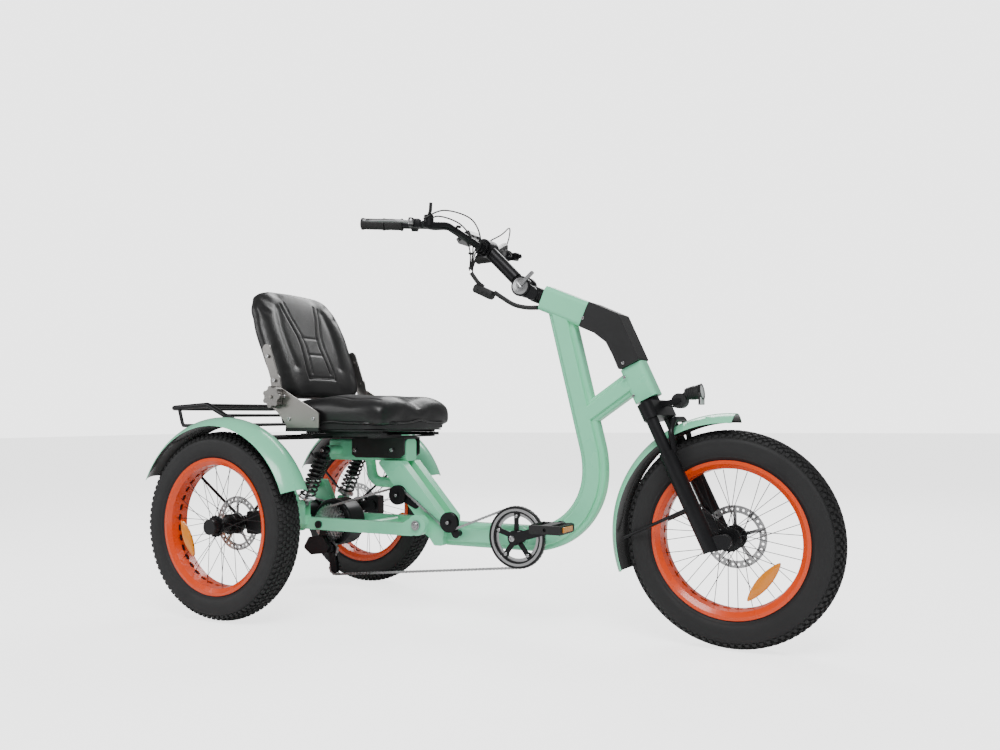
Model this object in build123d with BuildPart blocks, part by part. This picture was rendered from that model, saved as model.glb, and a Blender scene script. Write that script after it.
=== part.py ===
from build123d import *
import os
from math import asin, atan2, cos, degrees, hypot, pi, radians, sin

os.makedirs("parts", exist_ok=True)

# ---------------------------------------------------------------- driving dimensions (millimetres)
WHEELBASE = 1483.0
TRACK = 745.0
TYRE_R = 290.0
TYRE_W = 100.0
RIM_R = 210.0
RIM_W = 82.0
SPOKES = 36
REAR_X = -695.75  # the rear axle's place, which puts the origin under the middle of the whole length

HEAD_TILT = 24.5  # the steering head leans back this far from upright
HEAD_X, HEAD_Z = 1429.0, 290.0  # a point of the steering axis at axle height
NECK_TILT = 23.4  # the upper column rises this far above level towards the rider
NECK_X, NECK_Z = 941.0, 973.0  # middle of the neck beam's rear face
STEER_JOINT_S = 645.9  # the ball joint's place, up the steering axis
STEER_JOINT_N = -239.8  # the same place, along the upper column

CRANK_X, CRANK_Z = 868.0, 265.0
CRANK_LENGTH = 160.0
CRANK_RISE = 16.0  # the right arm points forward and up by this angle
PEDAL_Y = 150.0
CHAIN_Y = -60.0
CHAINRING_R = 88.9
IDLER_R = 25.0
FRONT_IDLER = (633.0, 297.0)
REAR_IDLER = (441.0, 374.0)
UPPER_JOCKEY = (177.0, 188.0)
LOWER_JOCKEY = (190.0, 127.0)
JOCKEY_R = 22.0
MOTOR_X, MOTOR_Z = 158.0, 272.0
MOTOR_R = 78.0
CASSETTE_R = [59.0, 57.0, 54.0, 51.0, 43.0, 35.0, 28.0]
CHAINED_SPROCKET = 3
SPROCKET_PITCH_Y = 5.0

PIVOT_X, PIVOT_Z = 540.0, 288.0
ARM_Y = 92.0
ARM_W = 24.0
SHOCK_Y = 102.0
SHOCK_TOP = (180.0, 515.0)
SHOCK_FOOT = (92.0, 336.0)
SHAFT_R = 10.0
FIT = 0.05  # radial clearance of every shaft in its bearing

LEG_Y = 79.0
LEG_X = 8.0
AXLE_R = 6.0

HINGE_N = 84.0
HINGE_X = 8.0
BAR_X, BAR_Z = 738.0, 1143.0
BAR_R = 11.1
GRIP_IN = (645.0, 290.0, 1174.0)
GRIP_OUT = (511.0, 340.0, 1183.0)

SEAT_HALF = 220.0
RECLINE = 22.0
RECLINE_X, RECLINE_Z = 88.0, 689.0
RAIL_Y = 150.0


# ------------------------------------------------------------------------------- working planes
def side(y=0.0):
    """Upright plane along the machine: local x is forward of the rear axle, local y is height."""
    return Plane(origin=(REAR_X, y, 0), x_dir=(1, 0, 0), z_dir=(0, -1, 0))


BASE = Plane(origin=(REAR_X, 0, 0))  # x forward of the rear axle, y to the rider's left, z up
head_lean = radians(HEAD_TILT)
FORK = Plane(
    origin=(REAR_X + HEAD_X, 0, HEAD_Z),
    x_dir=(cos(head_lean), 0, sin(head_lean)),
    z_dir=(-sin(head_lean), 0, cos(head_lean)),
)
neck_lean = radians(NECK_TILT)
NECK = Plane(
    origin=(REAR_X + NECK_X, 0, NECK_Z),
    x_dir=(sin(neck_lean), 0, cos(neck_lean)),
    z_dir=(-cos(neck_lean), 0, sin(neck_lean)),
)
CROSS_NECK = Plane(origin=NECK.origin, x_dir=(0, 1, 0), z_dir=NECK.z_dir)
CROSS_HEAD = Plane(origin=FORK.origin, x_dir=(0, 1, 0), z_dir=FORK.z_dir)
BACK = Plane(
    origin=(REAR_X + RECLINE_X, 0, RECLINE_Z),
    x_dir=(0, 1, 0),
    z_dir=(cos(radians(RECLINE)), 0, sin(radians(RECLINE))),
)  # the backrest's front: local x to the left, local y up the backrest


def radial(x, y, angle, height=TYRE_R):
    """Plane through a cross axis: local x runs across, local y out along the angle from forward."""
    turn = radians(angle)
    centre = (REAR_X + x, y, height)
    return Plane(origin=centre, x_dir=(0, 1, 0), z_dir=(sin(turn), 0, -cos(turn)))


def cross_axis(x, z):
    """The line across the machine through (x, z)."""
    return Axis((REAR_X + x, 0, z), (0, 1, 0))


# ---------------------------------------------------------------------------- repeated features
def disc(x, z, y0, y1, radius, hole=0.0, mode=Mode.ADD):
    """Round piece about a cross axis through (x, z), from y0 up to y1."""
    with BuildSketch(side(y1)) as profile:
        with Locations((x, z)):
            Circle(radius)
            if hole:
                Circle(hole, mode=Mode.SUBTRACT)
    extrude(profile.sketch, amount=y1 - y0, mode=mode)


def plate(points, y0, y1, radius=0.0, mode=Mode.ADD):
    """Flat plate with its side outline through the points, from y0 up to y1."""
    with BuildSketch(side(y1)) as profile:
        with BuildLine():
            Polyline(*points, close=True)
        make_face()
        if radius:
            fillet(profile.vertices(), radius)
    extrude(profile.sketch, amount=y1 - y0, mode=mode)


def link(start, end, y0, y1, width, mode=Mode.ADD, upright=side):
    """Flat bar with round ends between two points of an upright plane, from y0 up to y1."""
    middle = ((start[0] + end[0]) / 2, (start[1] + end[1]) / 2)
    length = hypot(end[0] - start[0], end[1] - start[1])
    angle = degrees(atan2(end[1] - start[1], end[0] - start[0]))
    with BuildSketch(upright(y1)) as profile:
        with Locations(Location(middle, angle)):
            SlotCenterToCenter(length, width)
    extrude(profile.sketch, amount=y1 - y0, mode=mode)


def rod(points, radius, bend=0.0, hole=0.0, plane=BASE, mode=Mode.ADD):
    """Round bar or tube through the points, each corner bent to the bend radius."""
    with BuildLine(plane) as path:
        if len(points) == 2:
            Line(*points)
        else:
            FilletPolyline(*points, radius=bend)
    with BuildSketch(Plane(origin=path.line @ 0, z_dir=path.line % 0)) as section:
        Circle(radius)
        if hole:
            Circle(hole, mode=Mode.SUBTRACT)
    sweep(section.sketch, path=path.line, mode=mode)


def save(part, name):
    part.label = name
    export_step(part, f"parts/{name}.step")


def belt(circles):
    """Closed run over (centre, radius, turn) circles, turn being 1 over a wheel and -1 under it.

    Gives the points where the run leaves and meets each circle, in order.
    """
    ends = []
    for k in range(len(circles)):
        (x0, z0), r0, turn0 = circles[k]
        (x1, z1), r1, turn1 = circles[(k + 1) % len(circles)]
        gap = turn0 * r0 - turn1 * r1
        heading = atan2(z1 - z0, x1 - x0) + asin(gap / hypot(x1 - x0, z1 - z0))
        out = (sin(heading), -cos(heading))
        leave = (x0 + turn0 * r0 * out[0], z0 + turn0 * r0 * out[1])
        meet = (x1 + turn1 * r1 * out[0], z1 + turn1 * r1 * out[1])
        ends.append((leave, meet))
    return ends


def chain_run(circles, y0, y1, height):
    """A chain's envelope along a belt, from y0 up to y1."""
    ends = belt(circles)
    with BuildSketch(side(y1)) as band:
        with BuildLine():
            for k, ((cx, cz), r, turn) in enumerate(circles):
                arrive = ends[k - 1][1]
                leave = ends[k][0]
                Line(*ends[k])
                start = degrees(atan2(arrive[1] - cz, arrive[0] - cx))
                finish = degrees(atan2(leave[1] - cz, leave[0] - cx))
                sweep_angle = (turn * (finish - start)) % 360 * turn
                CenterArc((cx, cz), r, start, sweep_angle)
        trace(line_width=height)
    extrude(band.sketch, amount=y1 - y0)


def sprocket(x, z, y0, y1, radius, teeth, hole):
    """Toothed wheel: a disc with a round gullet between each pair of teeth."""
    with BuildSketch(side(y1)) as profile:
        with Locations((x, z)):
            Circle(radius + 3.0)
            Circle(hole, mode=Mode.SUBTRACT)
            with PolarLocations(radius, teeth):
                Circle(4.0, mode=Mode.SUBTRACT)
    extrude(profile.sketch, amount=y1 - y0)


# -------------------------------------------------------------------------------------- wheels
def make_tyre(x, y, name):
    """Fat tyre, a hollow carcass that is open at the rim."""
    half = TYRE_W / 2
    shoulder = TYRE_R - 18
    with BuildPart() as tyre:
        with BuildSketch(radial(x, y, 90)) as section:
            with BuildLine():
                ThreePointArc((-46, shoulder), (0, TYRE_R), (46, shoulder))
                ThreePointArc((46, shoulder), (half, 245), (37, 211))
                Polyline((37, 211), (37, 204), (-37, 204), (-37, 211))
                ThreePointArc((-37, 211), (-half, 245), (-46, shoulder))
            make_face()
            offset(amount=-5.0, mode=Mode.SUBTRACT)
            with Locations((0, 204)):
                Rectangle(62, 12, mode=Mode.SUBTRACT)
        revolve(axis=cross_axis(x, TYRE_R))
    save(tyre.part, name)


def make_rim(x, y, name):
    """Wide single-wall rim with an oval window between the spokes."""
    half = RIM_W / 2
    bed = [(half, RIM_R), (half, 200.5), (31, 188.5), (0, 185.5)]
    bed += [(-a, b) for a, b in reversed(bed[:3])]
    well = [(27, 192), (30, 203.6), (38, 203.6), (38, RIM_R)]
    well = [(-a, b) for a, b in reversed(well)] + [(0, 189)] + well
    with BuildPart() as rim:
        with BuildSketch(radial(x, y, 90)):
            with BuildLine():
                Polyline(*bed, *well, close=True)
            make_face()
        revolve(axis=cross_axis(x, TYRE_R))
        windows = []
        for k in range(SPOKES):
            turn = radians(360 * (k + 0.5) / SPOKES)
            out = Vector(cos(turn), 0, sin(turn))
            centre = Vector(REAR_X + x, y, TYRE_R) + out * 180
            windows.append(Plane(origin=centre, x_dir=(-sin(turn), 0, cos(turn)), z_dir=out))
        with BuildSketch(*windows):
            SlotOverall(22, 13)
        extrude(amount=16, mode=Mode.SUBTRACT)
    save(rim.part, name)


def add_spokes(x, y, flange_y):
    """Crossed spokes from both hub flanges to the rim, each a separate wire."""
    per_flange = SPOKES // 2
    spread = radians(40)
    hole_r, bed_r, bed_y = 26.0, 184.8, 13.0
    for flange in (-1, 1):
        for lead in (-1, 1):
            wires = []
            for k in range(per_flange // 2):
                step = 2 * pi / per_flange
                hub_turn = step * (2 * k + (lead + 1) / 2) + flange * step / 4
                rim_turn = hub_turn + lead * spread
                hub_y = y + flange * (flange_y + lead * 3.4)
                start = Vector(cos(hub_turn) * hole_r, hub_y, sin(hub_turn) * hole_r)
                end = Vector(cos(rim_turn) * bed_r, y + flange * bed_y, sin(rim_turn) * bed_r)
                origin = start + Vector(REAR_X + x, 0, TYRE_R)
                wires.append(Plane(origin=origin, z_dir=end - start))
                length = (end - start).length
            with BuildSketch(*wires) as wire:
                Circle(1.0)
            extrude(wire.sketch, amount=length)


def make_rotor(x, y, name, hub_r):
    """Ventilated brake disc with five arms."""
    with BuildPart() as rotor:
        with BuildSketch(side(y + 0.9)):
            with Locations((x, TYRE_R)):
                Circle(85)
                Circle(65, mode=Mode.SUBTRACT)
                Circle(hub_r + 12)
                Circle(hub_r, mode=Mode.SUBTRACT)
                with PolarLocations(0, 5, start_angle=90):
                    with Locations((49, 0)):
                        Rectangle(40, 9)
                with PolarLocations(75, 30):
                    Circle(3.4, mode=Mode.SUBTRACT)
        extrude(amount=1.8)
    save(rotor.part, name)


make_tyre(WHEELBASE, 0, "front_tyre")
make_rim(WHEELBASE, 0, "front_rim")
make_rotor(WHEELBASE, 39.0, "front_rotor", 20.05)
with BuildPart() as front_hub:
    disc(WHEELBASE, TYRE_R, -33, 46, 19)
    for flange in (-28, 28):
        disc(WHEELBASE, TYRE_R, flange - 1.5, flange + 1.5, 32)
    disc(WHEELBASE, TYRE_R, 33, 37.9, 30)
    disc(WHEELBASE, TYRE_R, -60, 60, AXLE_R + FIT, mode=Mode.SUBTRACT)
    add_spokes(WHEELBASE, 0, 28)
save(front_hub.part, "front_spoked_hub")

for side_name, sign in (("left", 1), ("right", -1)):
    wheel_y = sign * TRACK / 2
    make_tyre(0, wheel_y, f"tyre_{side_name}")
    make_rim(0, wheel_y, f"rim_{side_name}")
    make_rotor(0, sign * 309.0, f"rotor_{side_name}", 22.05)
    with BuildPart() as hub:
        shell = sorted((sign * 303, sign * 404))
        disc(0, TYRE_R, *shell, 21)
        for flange in (-28, 28):
            disc(0, TYRE_R, wheel_y + flange - 1.5, wheel_y + flange + 1.5, 32)
        collar = sorted((sign * 310.2, sign * 320))
        disc(0, TYRE_R, *collar, 32)
        cap = sorted((sign * 404, sign * 428))
        disc(0, TYRE_R, *cap, 24)
        shaft = sorted((sign * 24, sign * 306))
        disc(0, TYRE_R, *shaft, SHAFT_R)
        add_spokes(0, wheel_y, 28)
    save(hub.part, f"spoked_hub_{side_name}")


# --------------------------------------------------------------------------------- main frame
def frame_tube(points, radii, depth, band, flange_y, band_y):
    """Box tube with a wide flat band along the middle of each side."""
    with BuildLine(side()) as path:
        FilletPolyline(*points, radius=radii)
    with BuildSketch(Plane(origin=path.line @ 0, x_dir=(0, 1, 0), z_dir=path.line % 0)) as section:
        RectangleRounded(2 * flange_y, depth, 9)
        RectangleRounded(2 * band_y, band, 5)
    sweep(section.sketch, path=path.line)


NECK_BOX_N, NECK_CORE_N = -148.0, -172.0  # where the neck beam and its slimmer core end
HEAD_LOW_S, HEAD_BOX_S, HEAD_CORE_S = 413.0, 517.5, 540.0  # the steering head and its core
NECK_CORE, HEAD_CORE = (58, 62, 12), (54, 56, 12)  # width, depth and corner radius
with BuildPart() as main_frame:
    # the long tube: down from the neck, round behind the front wheel and back under the rider
    frame_tube(
        [(990, 938), (1094, 500), (1094, 257), (596, 257)],
        [270, 205],
        depth=74,
        band=44,
        flange_y=21,
        band_y=30,
    )
    # the short branch to the steering head
    frame_tube([(1075, 622), (1130, 659), (1215, 716)], [4000], depth=64, band=40, flange_y=22, band_y=30)
    # the neck beam round the upper column
    with BuildSketch(CROSS_NECK):
        RectangleRounded(68, 76, 15)
    extrude(amount=NECK_BOX_N)
    with BuildSketch(CROSS_NECK):
        RectangleRounded(*NECK_CORE)
    extrude(amount=NECK_CORE_N)
    with BuildSketch(CROSS_NECK.offset(20)):
        Circle(23)
    extrude(amount=NECK_CORE_N - 40, mode=Mode.SUBTRACT)
    # the steering head
    with BuildSketch(CROSS_HEAD.offset(HEAD_LOW_S)):
        RectangleRounded(66, 70, 15)
    extrude(amount=HEAD_BOX_S - HEAD_LOW_S)
    with BuildSketch(CROSS_HEAD.offset(HEAD_LOW_S)):
        RectangleRounded(*HEAD_CORE)
    extrude(amount=HEAD_CORE_S - HEAD_LOW_S)
    with BuildSketch(CROSS_HEAD.offset(HEAD_LOW_S - 5)):
        Circle(23)
    extrude(amount=HEAD_CORE_S - HEAD_LOW_S + 10, mode=Mode.SUBTRACT)
    # the shell that holds the crank's bearings
    disc(CRANK_X, CRANK_Z, -36, 36, 25)
    disc(CRANK_X, CRANK_Z, -40, 40, 19, mode=Mode.SUBTRACT)
save(main_frame.part, "main_frame")

COVER = [(1095, 950), (1186, 908), (1245, 777), (1184, 749)]
COVER += [(1166, 792), (1146, 830), (1110, 858), (1063, 879)]
COVER_WALL = 3.6
with BuildPart() as neck_cover:
    plate(COVER, -42, 42, radius=6)
    with BuildSketch(side(42 - COVER_WALL)) as hollow:
        with BuildLine():
            Polyline(*COVER, close=True)
        make_face()
        offset(amount=-COVER_WALL, kind=Kind.INTERSECTION, mode=Mode.REPLACE)
    extrude(hollow.sketch, amount=2 * (42 - COVER_WALL), mode=Mode.SUBTRACT)
    # open ends for the cores of the neck beam and the steering head
    with BuildSketch(CROSS_NECK.offset(-140)):
        RectangleRounded(NECK_CORE[0] + 1, NECK_CORE[1] + 1, NECK_CORE[2])
    extrude(amount=-40, mode=Mode.SUBTRACT)
    with BuildSketch(CROSS_HEAD.offset(500)):
        RectangleRounded(HEAD_CORE[0] + 1, HEAD_CORE[1] + 1, HEAD_CORE[2])
    extrude(amount=45, mode=Mode.SUBTRACT)
save(neck_cover.part, "neck_cover")

with BuildPart() as seat_frame:
    # the upper tube under the seat, with its closed front
    with BuildSketch(Plane(origin=(REAR_X + 140, 0, 515), x_dir=(0, 1, 0), z_dir=(1, 0, 0))):
        RectangleRounded(58, 70, 12)
    extrude(amount=312)
    # a pair of tubes down to the rear end of the long tube
    for y in (-36, 36):
        plate([(352, 482), (448, 482), (604, 308), (604, 222), (572, 222), (520, 290)], y - 17, y + 17, 8)
    # the bent hoop that braces them
    rod([(285, 0, 500), (300, 0, 410), (450, 0, 404)], 17, 40)
    # lug for the swingarm's pivot
    link((PIVOT_X, PIVOT_Z), (580, 262), -53, 53, 56)
    disc(PIVOT_X, PIVOT_Z, -60, 60, 9 + FIT, mode=Mode.SUBTRACT)
    # cross tube and ears for the tops of the shock absorbers
    disc(*SHOCK_TOP, 16 - SHOCK_Y, SHOCK_Y - 16, 15)
    # room for the end of the long tube
    plate([(596, 200), (640, 200), (640, 320), (596, 320)], -30.2, 30.2, mode=Mode.SUBTRACT)
save(seat_frame.part, "seat_frame")


def fork_side(y):
    """Upright plane in the fork's own directions: local y runs up the steering axis."""
    return Plane(origin=(REAR_X + HEAD_X, y, HEAD_Z), x_dir=FORK.x_dir, z_dir=(0, -1, 0))


def mirrored(y0, y1):
    """The same span of y on both sides, each from low to high."""
    return [(-y1, -y0), (y0, y1)]


# ---------------------------------------------------------------------- seat mount and rear rack
MOUNT_BOLTS = [(262, 514), (409, 516)]
with BuildPart() as seat_mount:
    # channel over the upper tube
    plate([(247, 550.4), (455, 550.4), (455, 556), (247, 556)], -46, 46)
    for span in mirrored(40, 46):
        plate([(247, 500), (264, 490), (438, 490), (455, 502), (455, 552), (247, 552)], *span, 4)
    for bolt in MOUNT_BOLTS:
        for span in mirrored(29, 41):
            disc(*bolt, *span, 11)
    # cross bars and the fixed halves of the slide rails
    for x in (282, 420):
        plate([(x - 16, 556), (x + 16, 556), (x + 16, 561), (x - 16, 561)], -166, 166)
    for rail in mirrored(RAIL_Y - 17, RAIL_Y + 17):
        plate([(134, 561), (452, 561), (452, 571), (134, 571)], *rail)
save(seat_mount.part, "seat_mount")

RACK_Y, RACK_LOW_Z = 250.0, 598.0
with BuildPart() as rear_rack:
    for y in (-RACK_Y, RACK_Y):
        inner_y = y * 0.44
        hoop = [(-373, 0, 658), (-373, y, 658), (-197, y, 667), (-114, y, 629), (20, 0.78 * y, 557)]
        hoop += [(135, inner_y, 559), (135, 0, 559)]
        rod(hoop, 8.5, 28)
        rod([(-332, y, 655), (-314, y, RACK_LOW_Z), (-62, 0.91 * y, RACK_LOW_Z)], 6, 14)
    for x, z in ((-290, 662), (-205, 666), (-118, 631), (-314, RACK_LOW_Z), (-180, RACK_LOW_Z)):
        disc(x, z, -RACK_Y, RACK_Y, 5.5)
save(rear_rack.part, "rear_rack")

# ------------------------------------------------------------------------- drive: crank to motor
TEETH_HALF = 1.1
with BuildPart() as chainring:
    sprocket(CRANK_X, CRANK_Z, CHAIN_Y - TEETH_HALF, CHAIN_Y + TEETH_HALF, CHAINRING_R, 44, 62)
    for k in range(5):
        turn = radians(18 + 72 * k)
        lug = (CRANK_X + 62 * cos(turn), CRANK_Z + 62 * sin(turn))
        disc(*lug, CHAIN_Y - TEETH_HALF, CHAIN_Y + TEETH_HALF, 9)
save(chainring.part, "chainring")

crank_turn = radians(CRANK_RISE)
crank_tip = (CRANK_LENGTH * cos(crank_turn), CRANK_LENGTH * sin(crank_turn))
pedal_at = {
    "right": (CRANK_X + crank_tip[0], CRANK_Z + crank_tip[1]),
    "left": (CRANK_X - crank_tip[0], CRANK_Z - crank_tip[1]),
}
with BuildPart() as crankset:
    disc(CRANK_X, CRANK_Z, -95, 95, 8.5)
    link((CRANK_X, CRANK_Z), pedal_at["right"], -95, -80, 28)
    link((CRANK_X, CRANK_Z), pedal_at["left"], 80, 95, 28)
    disc(CRANK_X, CRANK_Z, -81, -64, 22)
    disc(CRANK_X, CRANK_Z, 70, 81, 20)
    disc(CRANK_X, CRANK_Z, -67, -64, 91, 72)
    for k in range(5):
        turn = radians(18 + 72 * k)
        arm_end = (CRANK_X + 78 * cos(turn), CRANK_Z + 78 * sin(turn))
        link((CRANK_X, CRANK_Z), arm_end, -67, -64, 15)
        bolt = (CRANK_X + 62 * cos(turn), CRANK_Z + 62 * sin(turn))
        disc(*bolt, -64.2, CHAIN_Y - TEETH_HALF, 6)
    disc(*pedal_at["right"], -192, -94, 5)
    disc(*pedal_at["left"], 94, 192, 5)
save(crankset.part, "crankset")

for side_name, sign in (("left", 1), ("right", -1)):
    px, pz = pedal_at[side_name]
    span = sorted((sign * 103, sign * 197))
    with BuildPart() as pedal:
        plate([(px - 48, pz - 12), (px + 48, pz - 12), (px + 48, pz + 12), (px - 48, pz + 12)], *span, 5)
        for x in (px - 28, px + 28):
            with BuildSketch(Plane(origin=(REAR_X + x, sign * PEDAL_Y, pz - 20))) as window:
                RectangleRounded(26, 74, 5)
            extrude(window.sketch, amount=40, mode=Mode.SUBTRACT)
        disc(px, pz, *span, 5 + FIT, mode=Mode.SUBTRACT)
    save(pedal.part, f"pedal_{side_name}")

for name, (x, z) in (("idler_front", FRONT_IDLER), ("idler_rear", REAR_IDLER)):
    with BuildPart() as idler:
        sprocket(x, z, CHAIN_Y - TEETH_HALF, CHAIN_Y + TEETH_HALF, IDLER_R, 12, 4 + FIT)
        disc(x, z, CHAIN_Y - 3.5, CHAIN_Y + 3.5, 12, 4 + FIT)
    save(idler.part, name)

with BuildPart() as idler_guards:
    for x, z in (FRONT_IDLER, REAR_IDLER):
        disc(x, z, -66.4, -64.4, 31)
        disc(x, z, -55.4, -53.4, 31)
        disc(x, z, -72, -53.6, 4)
        disc(x, z, -72, -66.2, 7)
    link(FRONT_IDLER, (652, 262), -55.4, -53.4, 26)
    disc(652, 262, -54, -30, 9)
    link(REAR_IDLER, (505, 346), -55.4, -53.4, 26)
save(idler_guards.part, "idler_guards")

PLATE_SPANS = [(CHAIN_Y - 3.4, CHAIN_Y - 1.6), (CHAIN_Y + 1.6, CHAIN_Y + 3.4)]
CHAIN_WHEELS = [
    ((CRANK_X, CRANK_Z), CHAINRING_R, 1),
    (FRONT_IDLER, IDLER_R, -1),
    (REAR_IDLER, IDLER_R, 1),
    ((MOTOR_X, MOTOR_Z), CASSETTE_R[CHAINED_SPROCKET], 1),
    (UPPER_JOCKEY, JOCKEY_R, -1),
    (LOWER_JOCKEY, JOCKEY_R, 1),
]
with BuildPart() as chain:
    for span in PLATE_SPANS:
        chain_run(CHAIN_WHEELS, *span, 8.5)
save(chain.part, "chain")

# ------------------------------------------------------------------------ rear carrier and axle
with BuildPart() as swingarm:
    for span in mirrored(ARM_Y - ARM_W / 2, ARM_Y + ARM_W / 2):
        plate([(30, 254), (520, 254), (545, 262), (545, 306), (520, 310), (488, 292), (30, 292)], *span, 5)
        disc(PIVOT_X, PIVOT_Z, *span, 32)
        rear_plate = [(-38, 256), (-20, 246), (80, 246), (80, 292)]
        rear_plate += [(56, 346), (24, 404), (-24, 404), (-38, 380)]
        plate(rear_plate, *span, 6)
    for x, z, r in ((0, 390, 13), (338, 273, 16)):
        disc(x, z, -ARM_Y, ARM_Y, r)
    # feet for the shock absorbers
    for inner, outer in ((87.5, 91), (113, 116.5)):
        for span in mirrored(inner, outer):
            link((92, 296), SHOCK_FOOT, *span, 30)
    for span in mirrored(87.5, 116.5):
        plate([(74, 270), (110, 270), (110, 300), (74, 300)], *span)
    disc(PIVOT_X, PIVOT_Z, -120, 120, 9 + FIT, mode=Mode.SUBTRACT)
    disc(0, TYRE_R, -120, 120, 22.2, mode=Mode.SUBTRACT)
    disc(MOTOR_X, MOTOR_Z, -120, 120, 7.2, mode=Mode.SUBTRACT)
    for span in mirrored(86, 118):
        disc(*SHOCK_FOOT, *span, 5)
save(swingarm.part, "swingarm")

with BuildPart() as axle_fittings:
    for span in mirrored(80, 286):
        disc(0, TYRE_R, *span, 22, 15)
    for inner, outer in ((80, 92), (272, 286)):
        for span in mirrored(inner, outer):
            disc(0, TYRE_R, *span, 15.2, SHAFT_R + FIT)
    for span in mirrored(104.2, 110):
        disc(0, TYRE_R, *span, 34, 21)
    disc(MOTOR_X, MOTOR_Z, -109, 109, 7)
    for span in mirrored(104.2, 112):
        disc(MOTOR_X, MOTOR_Z, *span, 12)
    for sign in (-1, 1):
        for angle in (40, 140):
            out = (cos(radians(angle)), sin(radians(angle)))
            start = (20 * out[0], sign * 281, TYRE_R + 20 * out[1])
            end = (304 * out[0], sign * 313, TYRE_R + 304 * out[1])
            rod([start, end], 4.5)
    for span in mirrored(285.6, 291):
        link((0, TYRE_R), (78, 296), *span, 34)
    disc(0, TYRE_R, -295, 295, SHAFT_R + FIT, mode=Mode.SUBTRACT)
save(axle_fittings.part, "axle_fittings")

with BuildPart() as rear_calipers:
    for span in mirrored(291.2, 327):
        plate([(56, 262), (106, 262), (106, 332), (56, 332)], *span, 7)
    for span in mirrored(306.4, 311.6):
        disc(0, TYRE_R, *span, 88, mode=Mode.SUBTRACT)
save(rear_calipers.part, "rear_calipers")


def add_fender(x, y, start, finish, crown=335.0, edge=311.0, half=57.5):
    """Arched mudguard round a wheel, from the start angle forward and down to the finish angle."""
    with BuildSketch(radial(x, y, start)) as arch:
        with BuildLine():
            ThreePointArc((-half, edge), (0, crown), (half, edge))
            Line((half, edge), (half - 0.4, edge - 2.5))
            ThreePointArc((half - 0.4, edge - 2.5), (0, crown - 2.6), (-half + 0.4, edge - 2.5))
            Line((-half + 0.4, edge - 2.5), (-half, edge))
        make_face()
    revolve(arch.sketch, axis=cross_axis(x, TYRE_R), revolution_arc=start - finish)


with BuildPart() as rear_fenders:
    for y in (-TRACK / 2, TRACK / 2):
        add_fender(0, y, 154, 21)
save(rear_fenders.part, "rear_fenders")

with BuildPart() as motor_drum:
    disc(MOTOR_X, MOTOR_Z, -40, 45, MOTOR_R)
    fillet(motor_drum.edges().filter_by(GeomType.CIRCLE), 10)
    disc(MOTOR_X, MOTOR_Z, -78, -38, 15)
    disc(MOTOR_X, MOTOR_Z, 44, 66, 14)
    disc(MOTOR_X, MOTOR_Z, 56.9, 59.1, 24)
    disc(MOTOR_X, MOTOR_Z, -80, 80, 7 + FIT, mode=Mode.SUBTRACT)
    sprocket(MOTOR_X, MOTOR_Z, 56.9, 59.1, 34, 17, 20)
save(motor_drum.part, "motor_drum")

with BuildPart() as cassette:
    for k, radius in enumerate(CASSETTE_R):
        y = CHAIN_Y + (CHAINED_SPROCKET - k) * SPROCKET_PITCH_Y
        teeth = round(radius / 2)
        sprocket(MOTOR_X, MOTOR_Z, y - TEETH_HALF, y + TEETH_HALF, radius, teeth, 15.1)
        if k:
            disc(MOTOR_X, MOTOR_Z, y + TEETH_HALF, y + SPROCKET_PITCH_Y - TEETH_HALF, 19, 15.1)
save(cassette.part, "cassette")

with BuildPart() as differential:
    disc(0, TYRE_R, -40, 44, 46)
    fillet(differential.edges().filter_by(GeomType.CIRCLE), 8)
    disc(0, TYRE_R, 43, 66, 18)
    disc(0, TYRE_R, 56.9, 59.1, 40)
    sprocket(0, TYRE_R, 56.9, 59.1, 48, 24, 30)
    disc(0, TYRE_R, -80, 80, SHAFT_R + FIT, mode=Mode.SUBTRACT)
save(differential.part, "differential")

with BuildPart() as axle_chain:
    for span in ((54.6, 56.4), (59.6, 61.4)):
        chain_run([((MOTOR_X, MOTOR_Z), 34, 1), ((0, TYRE_R), 48, 1)], *span, 8.5)
save(axle_chain.part, "axle_chain")

with BuildPart() as derailleur:
    link((MOTOR_X, MOTOR_Z), (150, 222), -79.8, -78.4, 26)
    link((150, 222), UPPER_JOCKEY, -79.6, -68.4, 24)
    plate([(78, 190), (100, 226), (158, 232), (186, 196), (172, 176), (110, 168)], -88, -70, 8)
    disc(MOTOR_X, MOTOR_Z, -90, -70, 7 + FIT, mode=Mode.SUBTRACT)
save(derailleur.part, "derailleur")

with BuildPart() as derailleur_cage:
    for span in ((-68, -66), (-54.5, -52.5)):
        link(UPPER_JOCKEY, LOWER_JOCKEY, *span, 24)
    for jockey in (UPPER_JOCKEY, LOWER_JOCKEY):
        disc(*jockey, -66.2, -54.3, 4)
        sprocket(*jockey, CHAIN_Y - TEETH_HALF, CHAIN_Y + TEETH_HALF, JOCKEY_R, 11, 4.2)
save(derailleur_cage.part, "derailleur_cage")

# ------------------------------------------------------------------------------- rear suspension
shock_run = (SHOCK_FOOT[0] - SHOCK_TOP[0], SHOCK_FOOT[1] - SHOCK_TOP[1])
SHOCK_LENGTH = hypot(*shock_run)
shock_dir = Vector(shock_run[0], 0, shock_run[1]).normalized()


def shock_plane(y, along):
    """Plane across a shock absorber, at a distance down from its upper eye."""
    top = Vector(REAR_X + SHOCK_TOP[0], y, SHOCK_TOP[1])
    return Plane(origin=top + shock_dir * along, x_dir=(0, 1, 0), z_dir=shock_dir)


def barrel(plane, radius, length, hole=0.0, mode=Mode.ADD):
    """Round piece standing on a plane."""
    with BuildSketch(plane) as profile:
        Circle(radius)
        if hole:
            Circle(hole, mode=Mode.SUBTRACT)
    extrude(profile.sketch, amount=length, mode=mode)


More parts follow.
